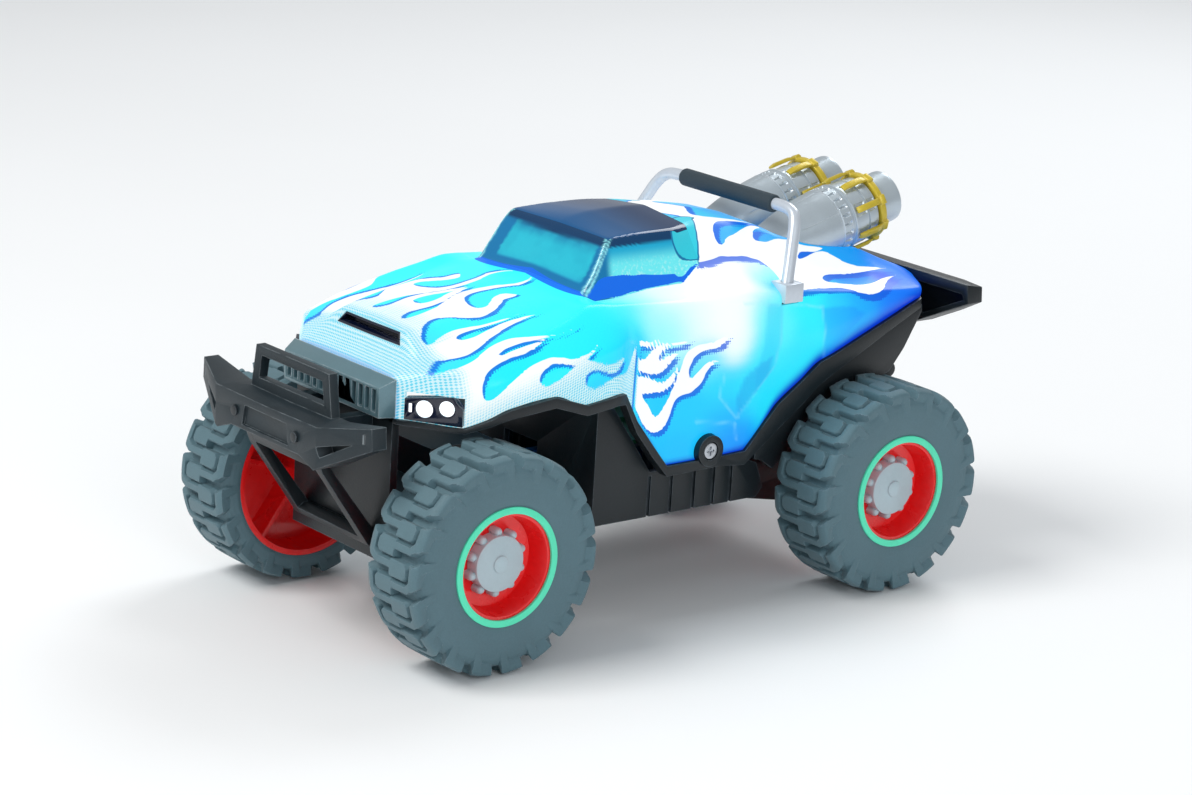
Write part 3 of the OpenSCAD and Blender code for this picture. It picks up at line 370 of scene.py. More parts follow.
def plain_finish(name, colour, rough, metal=0.0, coat=0.0, mottle=0.12, patch=60.0, grain=900.0,
                 bump=0.15, spread=0.12, highlight_colour=None, highlight_width=0.0006, highlight_amount=0.5, sheen=0.0):
    """A plastic, rubber or metal finish with grain, and a painted highlight in a lighter colour along its
    outer edges if asked.
    """
    material = bpy.data.materials.new(name)
    material.use_nodes = True
    tree = material.node_tree
    shader = tree.nodes["Principled BSDF"]
    g = node(tree, "ShaderNodeGroup", node_tree=GRAIN)
    for key, value in (("Colour", colour), ("Mottle", mottle), ("Patch size", patch), ("Grain size", grain),
                       ("Roughness", rough), ("Roughness spread", spread)):
        g.inputs[key].default_value = value
    base = g.outputs["Colour"]
    if highlight_colour:
        # The outer edges take a lighter colour here: a painted highlight.
        e = node(tree, "ShaderNodeGroup", node_tree=EDGE_HIGHLIGHT)
        e.inputs["Width"].default_value = highlight_width
        e.inputs["Amount"].default_value = highlight_amount
        base = mix(tree, e.outputs["Mask"], base, highlight_colour)
    tree.links.new(base, shader.inputs["Base Color"])
    tree.links.new(g.outputs["Roughness"], shader.inputs["Roughness"])
    texture_bump(tree, g, shader, bump)
    shader.inputs["Metallic"].default_value = metal
    shader.inputs["Coat Weight"].default_value = coat
    shader.inputs["Coat Roughness"].default_value = 0.12
    shader.inputs["Sheen Weight"].default_value = sheen
    return material


# The lighter edge colours given to these finishes are painted highlights.
BLACK = plain_finish("satin_black_plastic", srgb(15, 24, 29), 0.42, mottle=0.22, grain=1400.0, bump=0.3,
                     highlight_colour=srgb(120, 132, 142), highlight_amount=0.55)
CHARCOAL = plain_finish("charcoal_bumper_plastic", srgb(22, 36, 43), 0.5, mottle=0.4, patch=90.0,
                        grain=2200.0, bump=0.5, highlight_colour=srgb(150, 160, 165), highlight_amount=0.6)
RUBBER = plain_finish("tyre_rubber", srgb(82, 112, 122), 0.62, mottle=0.16, patch=45.0, grain=1500.0,
                      bump=0.25, highlight_colour=srgb(140, 158, 170), highlight_width=0.0005, highlight_amount=0.35, sheen=0.1)
RED = plain_finish("red_rim_plastic", srgb(246, 26, 28), 0.28, coat=0.35, mottle=0.10, bump=0.05)
MINT = plain_finish("mint_trim_ring", srgb(88, 234, 190), 0.42, mottle=0.06, bump=0.08)
CAP = plain_finish("grey_hub_cap", srgb(176, 196, 204), 0.42, coat=0.15, mottle=0.08, bump=0.1,
                   highlight_colour=srgb(214, 222, 228), highlight_amount=0.5)
SILVER = plain_finish("silver_paint", srgb(192, 204, 212), 0.32, metal=0.55, coat=0.25, mottle=0.1,
                      grain=2600.0, bump=0.12, highlight_colour=srgb(236, 240, 244), highlight_amount=0.6)
BAR_PAINT = plain_finish("pale_silver_tube", srgb(206, 214, 224), 0.3, metal=0.3, coat=0.3, mottle=0.08,
                         bump=0.06)
BRIGHT = plain_finish("bright_grille_silver", srgb(104, 136, 146), 0.3, metal=0.35, coat=0.3, mottle=0.12,
                      grain=1800.0, bump=0.15, highlight_colour=srgb(240, 246, 250), highlight_amount=0.7)
GOLD = plain_finish("mustard_gold_plastic", srgb(206, 182, 52), 0.38, metal=0.15, coat=0.2, mottle=0.12,
                    bump=0.15, highlight_colour=srgb(226, 206, 120), highlight_amount=0.6)
FOAM = plain_finish("foam_pad", srgb(40, 56, 66), 0.72, mottle=0.25, grain=1600.0, bump=0.9)
NAVY = plain_finish("gloss_navy_bezel", srgb(10, 18, 42), 0.2, coat=0.5, mottle=0.1, bump=0.04)
STEEL = plain_finish("plain_steel", srgb(190, 194, 200), 0.28, metal=0.95, mottle=0.12, grain=1500.0,
                     bump=0.1)
BRASS = plain_finish("turned_brass", srgb(190, 150, 84), 0.3, metal=0.95, mottle=0.12, bump=0.1)
BRONZE = plain_finish("sintered_bronze", srgb(150, 104, 66), 0.5, metal=0.8, mottle=0.2, bump=0.4)
ACETAL = plain_finish("natural_acetal", srgb(228, 224, 210), 0.4, mottle=0.06, bump=0.08)
ZINC = plain_finish("zinc_plated_can", srgb(170, 174, 178), 0.34, metal=0.85, mottle=0.15, bump=0.12)
WRAP = plain_finish("blue_shrink_wrap", srgb(30, 84, 140), 0.35, coat=0.3, mottle=0.12, bump=0.2)
BOARD = plain_finish("green_solder_mask", srgb(18, 84, 50), 0.4, coat=0.2, mottle=0.2, grain=700.0, bump=0.25)
DARK_GEAR = plain_finish("black_acetal", srgb(26, 28, 32), 0.45, mottle=0.15, bump=0.15)


# ---------- body form ----------

# Half outline of the body at each station, front to rear: y, then [x, z] of the centre, the bulge or
# roof edge, the crease, the shoulder, the flank and the lower edge.
STATIONS = [
    (-112, (0, 99.6), (14, 99.5), (28, 99), (30, 97), (30.6, 91), (30.4, 84.6)),
    (-103.5, (0, 105.9), (23.9, 105.3), (30.5, 103.4), (39.5, 101.6), (42, 94), (42, 84.4)),
    (-100.2, (0, 112.6), (19.4, 111.9), (31, 105), (44, 102.6), (46.8, 95), (46.6, 84.2)),
    (-97, (0, 113.3), (20, 112.6), (31.5, 106.2), (48, 103.5), (50.6, 96), (50.4, 84.2)),
    (-88, (0, 115), (21.5, 114.1), (32.4, 108.6), (49, 106.4), (53.6, 98), (53.2, 87)),
    (-81, (0, 116.2), (22.3, 115.2), (33, 110.2), (49, 108.8), (55.2, 100), (54.6, 89.8)),
    (-62, (0, 118.8), (24, 117.4), (34, 114), (48.6, 113.6), (57, 103), (56.2, 92.4)),
    (-48, (0, 120.4), (26, 118.9), (35, 117.4), (46.4, 117.2), (57.4, 105), (56.4, 87.8)),
    (-38, (0, 121.4), (28, 120), (35.6, 119.6), (43.8, 120), (57, 107), (56, 88.8)),
    (-32.5, (0, 121.8), (31, 120.4), (33.8, 119.2), (44, 119.8), (56, 108), (55, 89.2)),
    (-28, (0, 127.6), (31.2, 126), (33.8, 117.4), (44.6, 119.4), (54, 109), (53, 88.6)),
    (-18.3, (0, 139.5), (28.9, 138.8), (33.4, 117.8), (45.6, 118.6), (49.4, 107), (48.6, 76)),
    (-10, (0, 141.6), (28.8, 139.2), (33, 119), (46.6, 118), (50, 105), (48.6, 65.6)),
    (-4, (0, 142.2), (28.7, 139.4), (33, 119.6), (47.2, 117.6), (50.8, 104), (49.8, 57.6)),
    (10.4, (0, 142.5), (28.4, 139.4), (33, 119.8), (48.6, 117.2), (51.6, 102), (50.2, 57.8)),
    (21, (0, 142), (24, 139.6), (33.6, 126.8), (49.4, 117), (51.9, 101), (50.3, 58)),
    (33, (0, 140.6), (18.8, 139), (34.6, 126.2), (50.2, 116.6), (52.1, 100), (50.3, 58.4)),
    (48, (0, 138.2), (18.8, 137), (35.4, 124.6), (50.6, 115.9), (52.1, 99), (50.3, 74.4)),
    (60, (0, 135.2), (20, 134.4), (35.2, 122.4), (50.2, 115.2), (51.9, 99.4), (50.2, 82.4)),
    (68, (0, 127), (23, 131), (34.8, 121), (49.8, 114.4), (51.6, 100), (50.1, 88)),
    (75, (0, 124.4), (25, 129.2), (34.6, 120), (49.4, 113.6), (51.2, 100.6), (49.9, 90.2)),
    (90, (0, 121), (26, 126.8), (34, 118), (48.6, 111.8), (50, 103), (49, 95.4)),
    (104, (0, 118.6), (25.6, 123.6), (33.6, 116.2), (47.8, 110.8), (48.8, 105), (48, 100.2)),
    (122, (0, 115), (24.8, 116.4), (33, 113.4), (46.2, 109.8), (46.6, 107.6), (46, 105.8)),
    (133, (0, 112.4), (20, 112.4), (26, 111.8), (31, 110.4), (31.6, 108.6), (31, 107))]
STATION_Y = [s[0] for s in STATIONS]


def body_rings(ys):
    """The half outline (6 x [x, z]) at each y, through the stations."""
    out = np.empty((len(ys), 6, 2))
    for i in range(6):
        for axis in (0, 1):
            out[:, i, axis] = ball_curve([s[1 + i][axis] for s in STATIONS], STATION_Y, np.asarray(ys, float))
    return out


def dense_half(ring, count, blur=1.1):
    """Even points along a half outline, with its corners rounded, and their distance from the shoulder."""
    lengths = np.concatenate([[0], np.cumsum(np.hypot(*np.diff(ring, axis=0).T))])
    fine = np.linspace(0, lengths[-1], 400)
    xz = np.stack([np.interp(fine, lengths, ring[:, k]) for k in (0, 1)], -1)
    mirror = np.concatenate([xz[:0:-1] * [-1, 1], xz])
    end = mirror[-1] + (mirror[-1] - mirror[-2]) * np.arange(1, 60)[:, None]
    start = mirror[0] + (mirror[0] - mirror[1]) * np.arange(1, 60)[::-1, None]
    padded = np.concatenate([start, mirror, end])
    pitch = lengths[-1] / 399
    reach = min(58, int(3 * blur / pitch) + 1)
    kernel = np.exp(-0.5 * (np.arange(-reach, reach + 1) * pitch / blur) ** 2)
    kernel /= kernel.sum()
    soft = np.stack([np.convolve(padded[:, k], kernel, mode="same") for k in (0, 1)], -1)
    soft = soft[59 + 399:59 + 399 + 400]
    at = np.linspace(0, lengths[-1], count)
    half = np.stack([np.interp(at, fine, soft[:, k]) for k in (0, 1)], -1)
    half[0, 0] = 0
    return half, at - lengths[3]


def body_surface(pitch_y, half_count, y0, y1):
    """Points over the body's outer skin, rows from front to rear, columns from right edge to left."""
    ys = np.linspace(y0, y1, int(round((y1 - y0) / pitch_y)) + 1)
    rows = []
    for y, ring in zip(ys, body_rings(ys)):
        half, _ = dense_half(ring, half_count)
        full = np.concatenate([half[:0:-1] * [-1, 1], half])
        rows.append(np.stack([full[:, 0], np.full(len(full), y), full[:, 1]], -1))
    return np.array(rows)


def body_skin(name, pitch_y, half_count, wall, y0=NOSE_Y, y1=TAIL_Y):
    """The body's skin as a closed wall with closed nose and tail."""
    rows = body_surface(pitch_y, half_count, y0, y1)
    n, m = rows.shape[:2]
    points = rows.reshape(-1, 3)
    faces = [list(f) for f in grid_faces(n, m)]
    obj = mesh_piece(name, points, faces)
    select_only(obj)
    bpy.ops.object.mode_set(mode="EDIT")
    mesh = bmesh.from_edit_mesh(obj.data)
    mesh.verts.ensure_lookup_table()
    for row in (0, n - 1):
        y = rows[row, 0, 1]
        if min(abs(y - NOSE_Y), abs(y - TAIL_Y)) < 0.1:
            centre = mesh.verts.new(Vector((0, y, rows[row, :, 2].min() + 3)) * MM)
            mesh.verts.ensure_lookup_table()
            for k in range(m - 1):
                a, b = mesh.verts[row * m + k], mesh.verts[row * m + k + 1]
                mesh.faces.new((a, b, centre) if row else (b, a, centre))
            mesh.verts.ensure_lookup_table()
    bmesh.ops.recalc_face_normals(mesh, faces=mesh.faces)
    top = max(mesh.faces, key=lambda f: f.calc_center_median().z)
    if top.normal.z < 0:
        bmesh.ops.reverse_faces(mesh, faces=mesh.faces)
    bmesh.update_edit_mesh(obj.data)
    bpy.ops.object.mode_set(mode="OBJECT")
    apply_modifier(obj, "SOLIDIFY", thickness=wall * MM, offset=-1.0, use_even_offset=False)
    return obj


def unrolled(points):
    """(y, s) of points on the body's skin, and their depth below it.

    s runs down the side from the shoulder and is negative on the top."""
    pitch = 0.5
    ys = np.arange(NOSE_Y, TAIL_Y + pitch, pitch)
    tables = [dense_half(r, 170) for r in body_rings(ys)]
    xz = np.array([t[0] for t in tables])
    s = np.array([t[1] for t in tables])
    row = np.clip(np.round((points[:, 1] - ys[0]) / pitch).astype(int), 0, len(ys) - 1)
    result, depth = np.empty(len(points)), np.empty(len(points))
    for start in range(0, len(points), 5000):
        part = slice(start, start + 5000)
        half = np.stack([np.abs(points[part, 0]), points[part, 2]], -1)
        gap = ((xz[row[part]] - half[:, None]) ** 2).sum(-1)
        result[part] = s[row[part], gap.argmin(1)]
        depth[part] = np.sqrt(gap.min(1))
    return np.stack([points[:, 1], result], -1), depth


# ---------- painted artwork, drawn on the unrolled body as (y, s); a third value marks a tip ----------

FRONT_FLAMES = [
    (-120, -60), (-84, -60), (-83, -50), (-81, -47.4), (-77, -46.9), (-71, -48.2), (-66, -49.4),
    (-58, -48.6, 1), (-64, -47.4), (-69, -46.2), (-75, -43.9), (-81, -43.1), (-86, -44), (-90, -44.6),
    (-93.5, -43.2), (-94.8, -41), (-92, -40), (-86, -40.1), (-79, -41.4), (-72, -44.4), (-66, -46.2),
    (-60, -46), (-54, -43.8), (-48, -40.6), (-44, -37.6), (-40, -36.6), (-37, -37.6), (-34.6, -39.6, 1),
    (-36.5, -36.8), (-40, -35), (-44, -35.4), (-48, -38.2), (-54, -41), (-60, -42.9), (-64, -42.8),
    (-67.5, -41), (-69.6, -37), (-70.4, -33), (-69.6, -30.2), (-67, -29.4), (-64, -30.8), (-60, -33.8),
    (-56.5, -35), (-53.4, -34.2), (-50.6, -29.8, 1), (-53, -29.4), (-57, -30.2), (-61, -27.8), (-66, -25),
    (-71, -24.2), (-76, -25.2), (-81, -28.4), (-84, -31), (-87, -32.6), (-91, -32), (-95, -28.6),
    (-97.4, -24.4), (-97, -21.4), (-94, -21.6), (-90, -22.8), (-85, -22.9), (-79, -21.4), (-71, -20),
    (-57, -18.7, 1), (-66, -18.6), (-73, -19), (-80, -20), (-85, -20.2), (-86.6, -18.9), (-84.6, -17.3),
    (-80, -16.5), (-74, -17.3), (-67, -17.4), (-60, -16.4), (-52.6, -13.2, 1), (-58, -14.9), (-64, -15.1),
    (-70, -14), (-78, -11.4), (-85, -8.6), (-91, -8.4), (-95.5, -10.2), (-98.2, -10.6), (-100.4, -8),
    (-102.6, -3.4), (-104.2, -0.4), (-102.6, 0), (-100, -2), (-97, -3.2), (-91, -3.5), (-86, -4.8),
    (-81, -6.5), (-76, -7), (-72, -6.2), (-68, -2.8), (-63, 0.6), (-56, 2.8), (-45.6, 4.2, 1), (-54, 3.4),
    (-60, 2), (-66, 0.8), (-73, -0.6), (-79, -1), (-82, -0.1), (-80.4, 1), (-75, 1.1), (-62, 2.2, 1),
    (-67, 3.4), (-72, 3.8), (-78, 3.1), (-84, 3), (-88, 4), (-90.6, 7), (-91, 10.2), (-89.4, 13.2),
    (-86.6, 13.9), (-82, 12), (-76, 9.8), (-69, 8.7), (-63, 9), (-58.6, 11), (-54, 13.6), (-49, 14.6),
    (-42.2, 14.6, 1), (-46, 15.9), (-51, 16.2), (-55.4, 15.4), (-60, 12.8), (-64, 11.6), (-67.6, 12.4),
    (-69.3, 14.8), (-67.8, 17.4), (-64.6, 18.9), (-60, 18.3), (-55, 16.6), (-50.4, 16.2), (-46.6, 18.2),
    (-43, 21.6), (-39, 23.9), (-35, 23.6), (-29.8, 21.2, 1), (-31.6, 24.8), (-34.6, 27.3), (-38.2, 27.6),
    (-42, 25.2), (-45.6, 22.4), (-48.2, 22), (-49, 24.2), (-47.4, 27.6), (-43.6, 30.3), (-39, 30.6),
    (-34, 28.9), (-29.4, 27.6), (-26.2, 24.4), (-23.2, 18.6), (-20.8, 13.6, 1), (-20.6, 40, 1),
    (-40, 60, 1), (-120, 60, 1)]
DOOR_FLAMES = [
    (-19.4, 13.2, 1), (-15, 13.7), (-10.2, 12.6, 1), (-12.4, 14.9), (-15.6, 15.7), (-19.2, 15.3, 1),
    (-19.2, 20.6, 1), (-16.4, 20.2), (-14, 18.2), (-11.6, 15.8), (-8, 14.5), (-3, 14.4), (4.4, 12.8, 1),
    (1.6, 14.8), (-3, 15.5), (-7, 16.3), (-9.4, 18), (-10.2, 20.4), (-8.6, 20.9), (-6.6, 19.4), (-4, 18.2),
    (-0.8, 18.8, 1), (-3.4, 20.2), (-5.8, 22.8), (-8.4, 25.2), (-12, 25.8), (-18.8, 24.4, 1),
    (-18.8, 26.8, 1), (-14, 27.3), (-10, 28.8), (-6.8, 28.6), (-4, 26.4), (-1.6, 22.6, 1), (-2, 26),
    (-4, 30), (-7.4, 32.4), (-12, 33), (-15.6, 33.2), (-16.6, 33.8), (-13, 37.6), (-10.2, 41.6), (-8.8, 42),
    (-7, 39.6), (-4, 33.6), (-1, 26.6), (1, 20.4), (3, 17.4), (7, 16), (14, 15.4), (22, 12.6, 1),
    (19.4, 16), (15, 17.6), (9.6, 18.2), (5.6, 20.6), (3.6, 24.6), (4.2, 28), (6, 27.9), (8.6, 25.6),
    (11.4, 23), (14.4, 22), (17.8, 22.8, 1), (14, 24.2), (11.6, 27), (9.6, 30.6), (6, 33.2), (1.4, 34),
    (-1.6, 36), (-3.2, 40.4), (-5, 45), (-8, 47.9), (-11.6, 47.4), (-15.4, 43.6), (-19.4, 37, 1)]
REAR_FLAMES = [
    (14, -66, 1), (46, -66, 1), (38, -54), (34, -47), (36, -44), (44, -42.4), (54, -40.8), (66, -37.6, 1),
    (58, -38.8), (50, -38.9), (42, -38.6), (38, -37), (35.2, -33), (34, -29), (34.6, -26.8), (36.6, -27.4),
    (40, -29.8), (45, -31.8), (50, -34.2), (54.6, -36), (59, -36), (67, -32.8, 1), (63, -34.4), (59.6, -35),
    (56.4, -33.8), (54, -31.2), (53.6, -29), (56, -28.1), (60, -28.3), (66, -29.6), (71, -29.2),
    (77, -26.4), (87.4, -24.7, 1), (82, -23.7), (76, -23.3), (72.6, -22.6), (70.8, -20.2), (74, -20.4),
    (80, -22.6), (85, -23.4), (89, -22.2), (94, -19), (99, -17), (107, -16.1), (117.6, -15.8, 1),
    (110, -14.8), (102, -13.4), (92, -12.2), (82, -11.8), (78, -11), (75.4, -8.8), (76.6, -6.9), (82, -6.1),
    (90, -5.2), (97, -5.2), (103, -6.6), (109, -8.8), (119, -11, 1), (112, -8.2), (107, -5.2), (103, -2),
    (98, 0.3), (93, 0.6), (88, -0.4), (84, -2.4), (78, -3), (68, -2.6), (58, -1.8), (53, -0.6), (51.4, -3),
    (52, -8), (52.2, -13), (50.6, -17.4), (47, -19.8), (42, -20.9), (36, -21.2), (31, -21.4), (27, -20.2),
    (22, -19.2), (17.6, -19.2, 1), (17.2, -25), (20, -29.6), (24.4, -35.6), (28.6, -39.4), (26, -44),
    (20, -50)]
BLUE_BAND = [
    (-32.4, -52, 1), (-34, -44), (-35, -36), (-35.8, -25), (-35.2, -17), (-33.6, -12.6), (-31.4, -11.4, 1),
    (-26, -11.7), (-18, -12.6), (-8, -13.8), (4, -15.4), (11, -16.4), (12.8, -15, 1), (20.8, -18.8, 1),
    (16.8, -18.6, 1), (13.4, -17.9), (10, -20, 1), (0, -19.7), (-10, -20.1), (-19.6, -20.4), (-24.6, -19.4),
    (-27.6, -16.8), (-30.4, -12.8, 1), (-31.4, -13.6), (-31.8, -22), (-31.6, -33), (-30.4, -52, 1)]
QUARTER_GLASS = [
    (10.6, -34.4), (11.6, -29), (14, -24.8), (17.6, -21.4), (20.4, -20.6, 1), (28.4, -39.6, 1), (31, -42),
    (25, -42.6), (17.6, -40.4), (12.4, -37.6)]
SHADE_SHIFT = {"flame_front": (0.8, 1.6), "flame_door": (1.0, 1.8), "flame_rear": (1.4, 2.9)}
ARTWORK = {"flame_front": FRONT_FLAMES, "flame_door": DOOR_FLAMES, "flame_rear": REAR_FLAMES,
           "band": BLUE_BAND, "quarter": QUARTER_GLASS}
# The pale colour here is for the painted highlight lines on the flank.
DEEP_BLUE, FLANK_HIGHLIGHT = (8, 52, 205), (150, 236, 255)

# Colour of the lit plastic at places on the unrolled body: y, s, screen colour, and how far it carries.
LIT_COLOURS = [
    (-104, -20, (70, 214, 236), 14), (-80, -30, (54, 244, 252), 22), (-55, -25, (52, 248, 254), 24),
    (-50, 5, (40, 242, 255), 22), (-85, 8, (34, 236, 252), 16), (-40, 16, (34, 236, 255), 14),
    (-45, 32, (30, 196, 250), 12), (-25, -4, (84, 243, 253), 10), (-28, 20, (26, 190, 250), 9),
    (-14, -6, (166, 247, 253), 9), (-2, -6, (232, 251, 255), 11), (14, -8, (248, 254, 255), 14),
    (28, -8, (246, 253, 255), 13), (-4, 8, (150, 247, 252), 9), (6, 6, (226, 252, 255), 10),
    (18, 8, (250, 254, 255), 11), (26, 16, (240, 253, 255), 8), (26, 4, (246, 254, 255), 9),
    (12, 22, (90, 228, 253), 8), (38, 6, (84, 242, 254), 8), (38, 20, (60, 232, 254), 8),
    (48, 12, (96, 244, 255), 7), (60, 6, (42, 240, 253), 11), (58, 20, (46, 228, 254), 10),
    (34, 32, (34, 222, 252), 10), (20, 34, (36, 216, 252), 9), (4, 42, (26, 202, 253), 11),
    (22, 46, (22, 182, 252), 10), (2, 54, (24, 190, 253), 8), (26, 54, (18, 146, 250), 7),
    (76, 6, (36, 204, 253), 9), (90, 4, (24, 172, 251), 10), (104, 2, (16, 124, 250), 9),
    (120, -3, (16, 122, 250), 9), (44, -10, (70, 226, 250), 6), (40, -14, (236, 249, 253), 6),
    (48, -6, (30, 196, 252), 4), (36, -31, (44, 176, 246), 7), (60, -32, (24, 168, 242), 6),
    (80, -34, (20, 170, 244), 12), (100, -30, (16, 158, 246), 12), (118, -26, (18, 134, 252), 12),
    (110, -8, (8, 62, 234), 5), (90, -9, (24, 140, 244), 6), (30, -52, (60, 200, 240), 14),
    (60, -56, (30, 170, 244), 14), (90, -50, (22, 160, 246), 14), (0, -50, (24, 110, 170), 12)]


# Lines of painted highlight on the flank, and patches of painted shade with their tint and strength.
FLANK_HIGHLIGHT_LINES = [
    [(29.4, 2.2), (38, 2.9), (47.3, 3.4), (58, 4.4), (68, 5.6)],
    [(47.3, 3.4), (46.8, 16), (44.8, 27), (28.4, 45.6)], [(67.8, 5.6), (69.4, 16), (70.2, 24)],
    [(20.6, 29), (19, 36.6), (28.4, 45.6)], [(9, 45), (28, 47.4), (29, 54)]]
FLANK_PAINTED_SHADE = [
    ([(47.3, 3.6), (46.8, 16), (44.8, 27), (37, 36), (36, 30), (39, 18), (40, 3.2)], (26, 186, 240), 0.34),
    ([(43, 23.6), (42.6, 29), (29, 44), (27.6, 38), (31, 30), (37.5, 26)], (28, 156, 232), 0.5),
    ([(68.2, 6), (69.8, 16), (70.4, 26), (90, 8), (84, 5.4)], (16, 138, 248), 0.4)]


def write_attribute(obj, name, values, kind="FLOAT"):
    """Stores a value, a vector or a colour at each point of the piece."""
    field = {"FLOAT": "value", "FLOAT_VECTOR": "vector", "FLOAT_COLOR": "color"}[kind]
    attribute = obj.data.attributes.new(name, kind, "POINT")
    attribute.data.foreach_set(field, values.astype(np.float32).ravel())


def tinted(colour, rgb, amount):
    """The colours moved towards a screen colour by an amount for each point."""
    return colour + (np.array(srgb(*rgb)[:3]) - colour) * amount[:, None]


def lit_colour(points, flat, depth):
    """The colour of the lit plastic at each point."""
    y, s = flat.T
    total = np.zeros(len(points))
    colour = np.zeros((len(points), 3))
    for at_y, at_s, rgb, reach in LIT_COLOURS:
        gap = (y - at_y) ** 2 + (s - at_s) ** 2
        weight = np.exp(-gap / (2 * (0.62 * reach) ** 2)) + 1e-9 + 1e-4 / (1 + gap / reach ** 2)
        total += weight
        colour += weight[:, None] * np.array(srgb(*rgb)[:3])
    colour /= total[:, None]
    # The wall's lower edge is deep blue, where little light reaches.
    low = np.abs(points[:, 2] - body_rings(y)[:, 5, 1])
    rim = step(0.0, 1.0, (y + 60) / 60) * np.exp(-(low / (1.2 + 2.4 * step(20, 60, y))) ** 2)
    colour = tinted(colour, DEEP_BLUE, rim)
    # Painted highlight lines along the flank, and painted shade beside them, where the lamp housing inside
    # casts its shadow on the lit wall
    highlight_gap = np.min([line_distance(flat, line) for line in FLANK_HIGHLIGHT_LINES], 0)
    colour = tinted(colour, FLANK_HIGHLIGHT, 0.3 * np.exp(-(highlight_gap / 0.5) ** 2))
    for outline, tint, amount in FLANK_PAINTED_SHADE:
        colour = tinted(colour, tint, amount * step(-1.2, 0.6, outline_distance(flat, outline)))
    # The inner side of the wall gives little light.
    return colour * (1 - 0.85 * step(0.8, 1.3, depth) * (np.abs(points[:, 1] - 10.5) < 121.5))[:, None]


def paint_body(obj):
    """Writes the artwork and the lit colour on the piece's points, for its material to read."""
    count = len(obj.data.vertices)
    co = np.empty(count * 3)
    obj.data.vertices.foreach_get("co", co)
    points = co.reshape(-1, 3) / MM
    flat, depth = unrolled(points)
    y, s = flat.T
    for name, outline in ARTWORK.items():
        curve = flowing(tips(outline))
        write_attribute(obj, name, outline_distance(flat, curve))
        if name in SHADE_SHIFT:
            shadow = outline_distance(flat - np.array(SHADE_SHIFT[name]), curve)
            write_attribute(obj, name.replace("flame", "shade"), shadow)
    colour = lit_colour(points, flat, depth)
    write_attribute(obj, "lit", np.concatenate([colour, np.ones((count, 1))], 1), "FLOAT_COLOR")
    # Printed dots cover the nose and the lower edge ahead of the door.
    hatch = np.maximum(step(-93, -101, y), step(10, 26, s)) * (y < -19)
    hatch = np.maximum(hatch, 0.4 * step(-82, -94, y) * (s < -20))
    side = step(-34, -31, s) * step(-22, -18, y) * (y < 20)
    # slope is the distance along the body from the sloping front pillar.
    slope = (s + 12) - (y + 32) * (-22 / 13)
    # Two pale lines either side of the pillar edge: a painted highlight.
    pillar_highlight = np.exp(-((slope - 1.1) / 0.7) ** 2) + np.exp(-((slope + 1.3) / 0.7) ** 2)
    pillar_highlight = pillar_highlight * (np.abs(y + 25) < 8)
    gasket = np.maximum(step(135.5, 136.1, points[:, 2]), 0.8 * np.exp(-(slope / 0.6) ** 2) * (y < -17))
    edge_line = np.exp(-((y + 111.6) / 0.5) ** 2) * (np.abs(points[:, 0]) < 31)
    # inset grows inwards from the frame of the windscreen.
    inset = np.minimum(np.minimum((y + 31.4) * 1.2, (-20.2 - y) * 1.2), -slope * 0.5 - 0.6)
    inset = np.where(points[:, 0] > 0, inset, np.minimum(inset, -slope * 0.5 - 3.0))
    for name, values in (("hatch", hatch), ("side_window", side), ("pillar_highlight", pillar_highlight), ("gasket", gasket),
                         ("edge_line", edge_line), ("inset", inset)):
        write_attribute(obj, name, values)
    write_attribute(obj, "unrolled", np.concatenate([flat * MM, np.zeros((count, 1))], 1), "FLOAT_VECTOR")


# ---------- finishes of the lit shell and its glazing ----------

def halftone_group():
    """Printed dots on the unrolled body: a value from -1 to 1."""
    tree, gin, gout = group("printed_dots", [("Pitch", "NodeSocketFloat", 0.001)],
                            [("Dots", "NodeSocketFloat")])
    where = node(tree, "ShaderNodeSeparateXYZ", {0: read_attribute(tree, "unrolled", "Vector")})
    waves = []
    for operation in ("ADD", "SUBTRACT"):
        along = maths(tree, operation, where.outputs[0], where.outputs[1])
        turn = maths(tree, "MULTIPLY", maths(tree, "DIVIDE", along, gin.outputs["Pitch"]), math.pi)
        waves.append(maths(tree, "COSINE", turn))
    tree.links.new(maths(tree, "MULTIPLY", waves[0], waves[1]), gout.inputs["Dots"])
    return tree


DOTS = halftone_group()


def largest(tree, names):
    value = read_attribute(tree, names[0])
    for name in names[1:]:
        value = maths(tree, "MAXIMUM", value, read_attribute(tree, name))
    return value


def lit_material(name, glow, rough, coat=0.08, specular=0.2):
    """Plastic lit from inside: finish_lit() gives it its colour, partly as light and partly as surface."""
    material = bpy.data.materials.new(name)
    material.use_nodes = True
    tree = material.node_tree
    shader = tree.nodes["Principled BSDF"]
    shader.inputs["Coat Weight"].default_value = coat
    shader.inputs["Coat Roughness"].default_value = 0.08
    shader.inputs["Specular IOR Level"].default_value = specular
    shader.inputs["Emission Strength"].default_value = glow
    g = node(tree, "ShaderNodeGroup", node_tree=GRAIN)
    for key, value in (("Mottle", 0.05), ("Patch size", 35.0), ("Grain size", 1200.0), ("Roughness", rough),
                       ("Roughness spread", 0.12)):
        g.inputs[key].default_value = value
    tree.links.new(g.outputs["Roughness"], shader.inputs["Roughness"])
    texture_bump(tree, g, shader, 0.06)
    return material, tree, shader, g


def finish_lit(tree, shader, g, colour, body=0.28):
    tree.links.new(colour, g.inputs["Colour"])
    surface = mix(tree, body, (0, 0, 0, 1), g.outputs["Colour"])
    tree.links.new(surface, shader.inputs["Base Color"])
    tree.links.new(g.outputs["Colour"], shader.inputs["Emission Color"])


def painted_band(tree, colour):
    """The blue band painted along the foot of the side windows."""
    return mix(tree, ramp(tree, read_attribute(tree, "band"), -0.1, 0.12), colour, srgb(14, 112, 240))


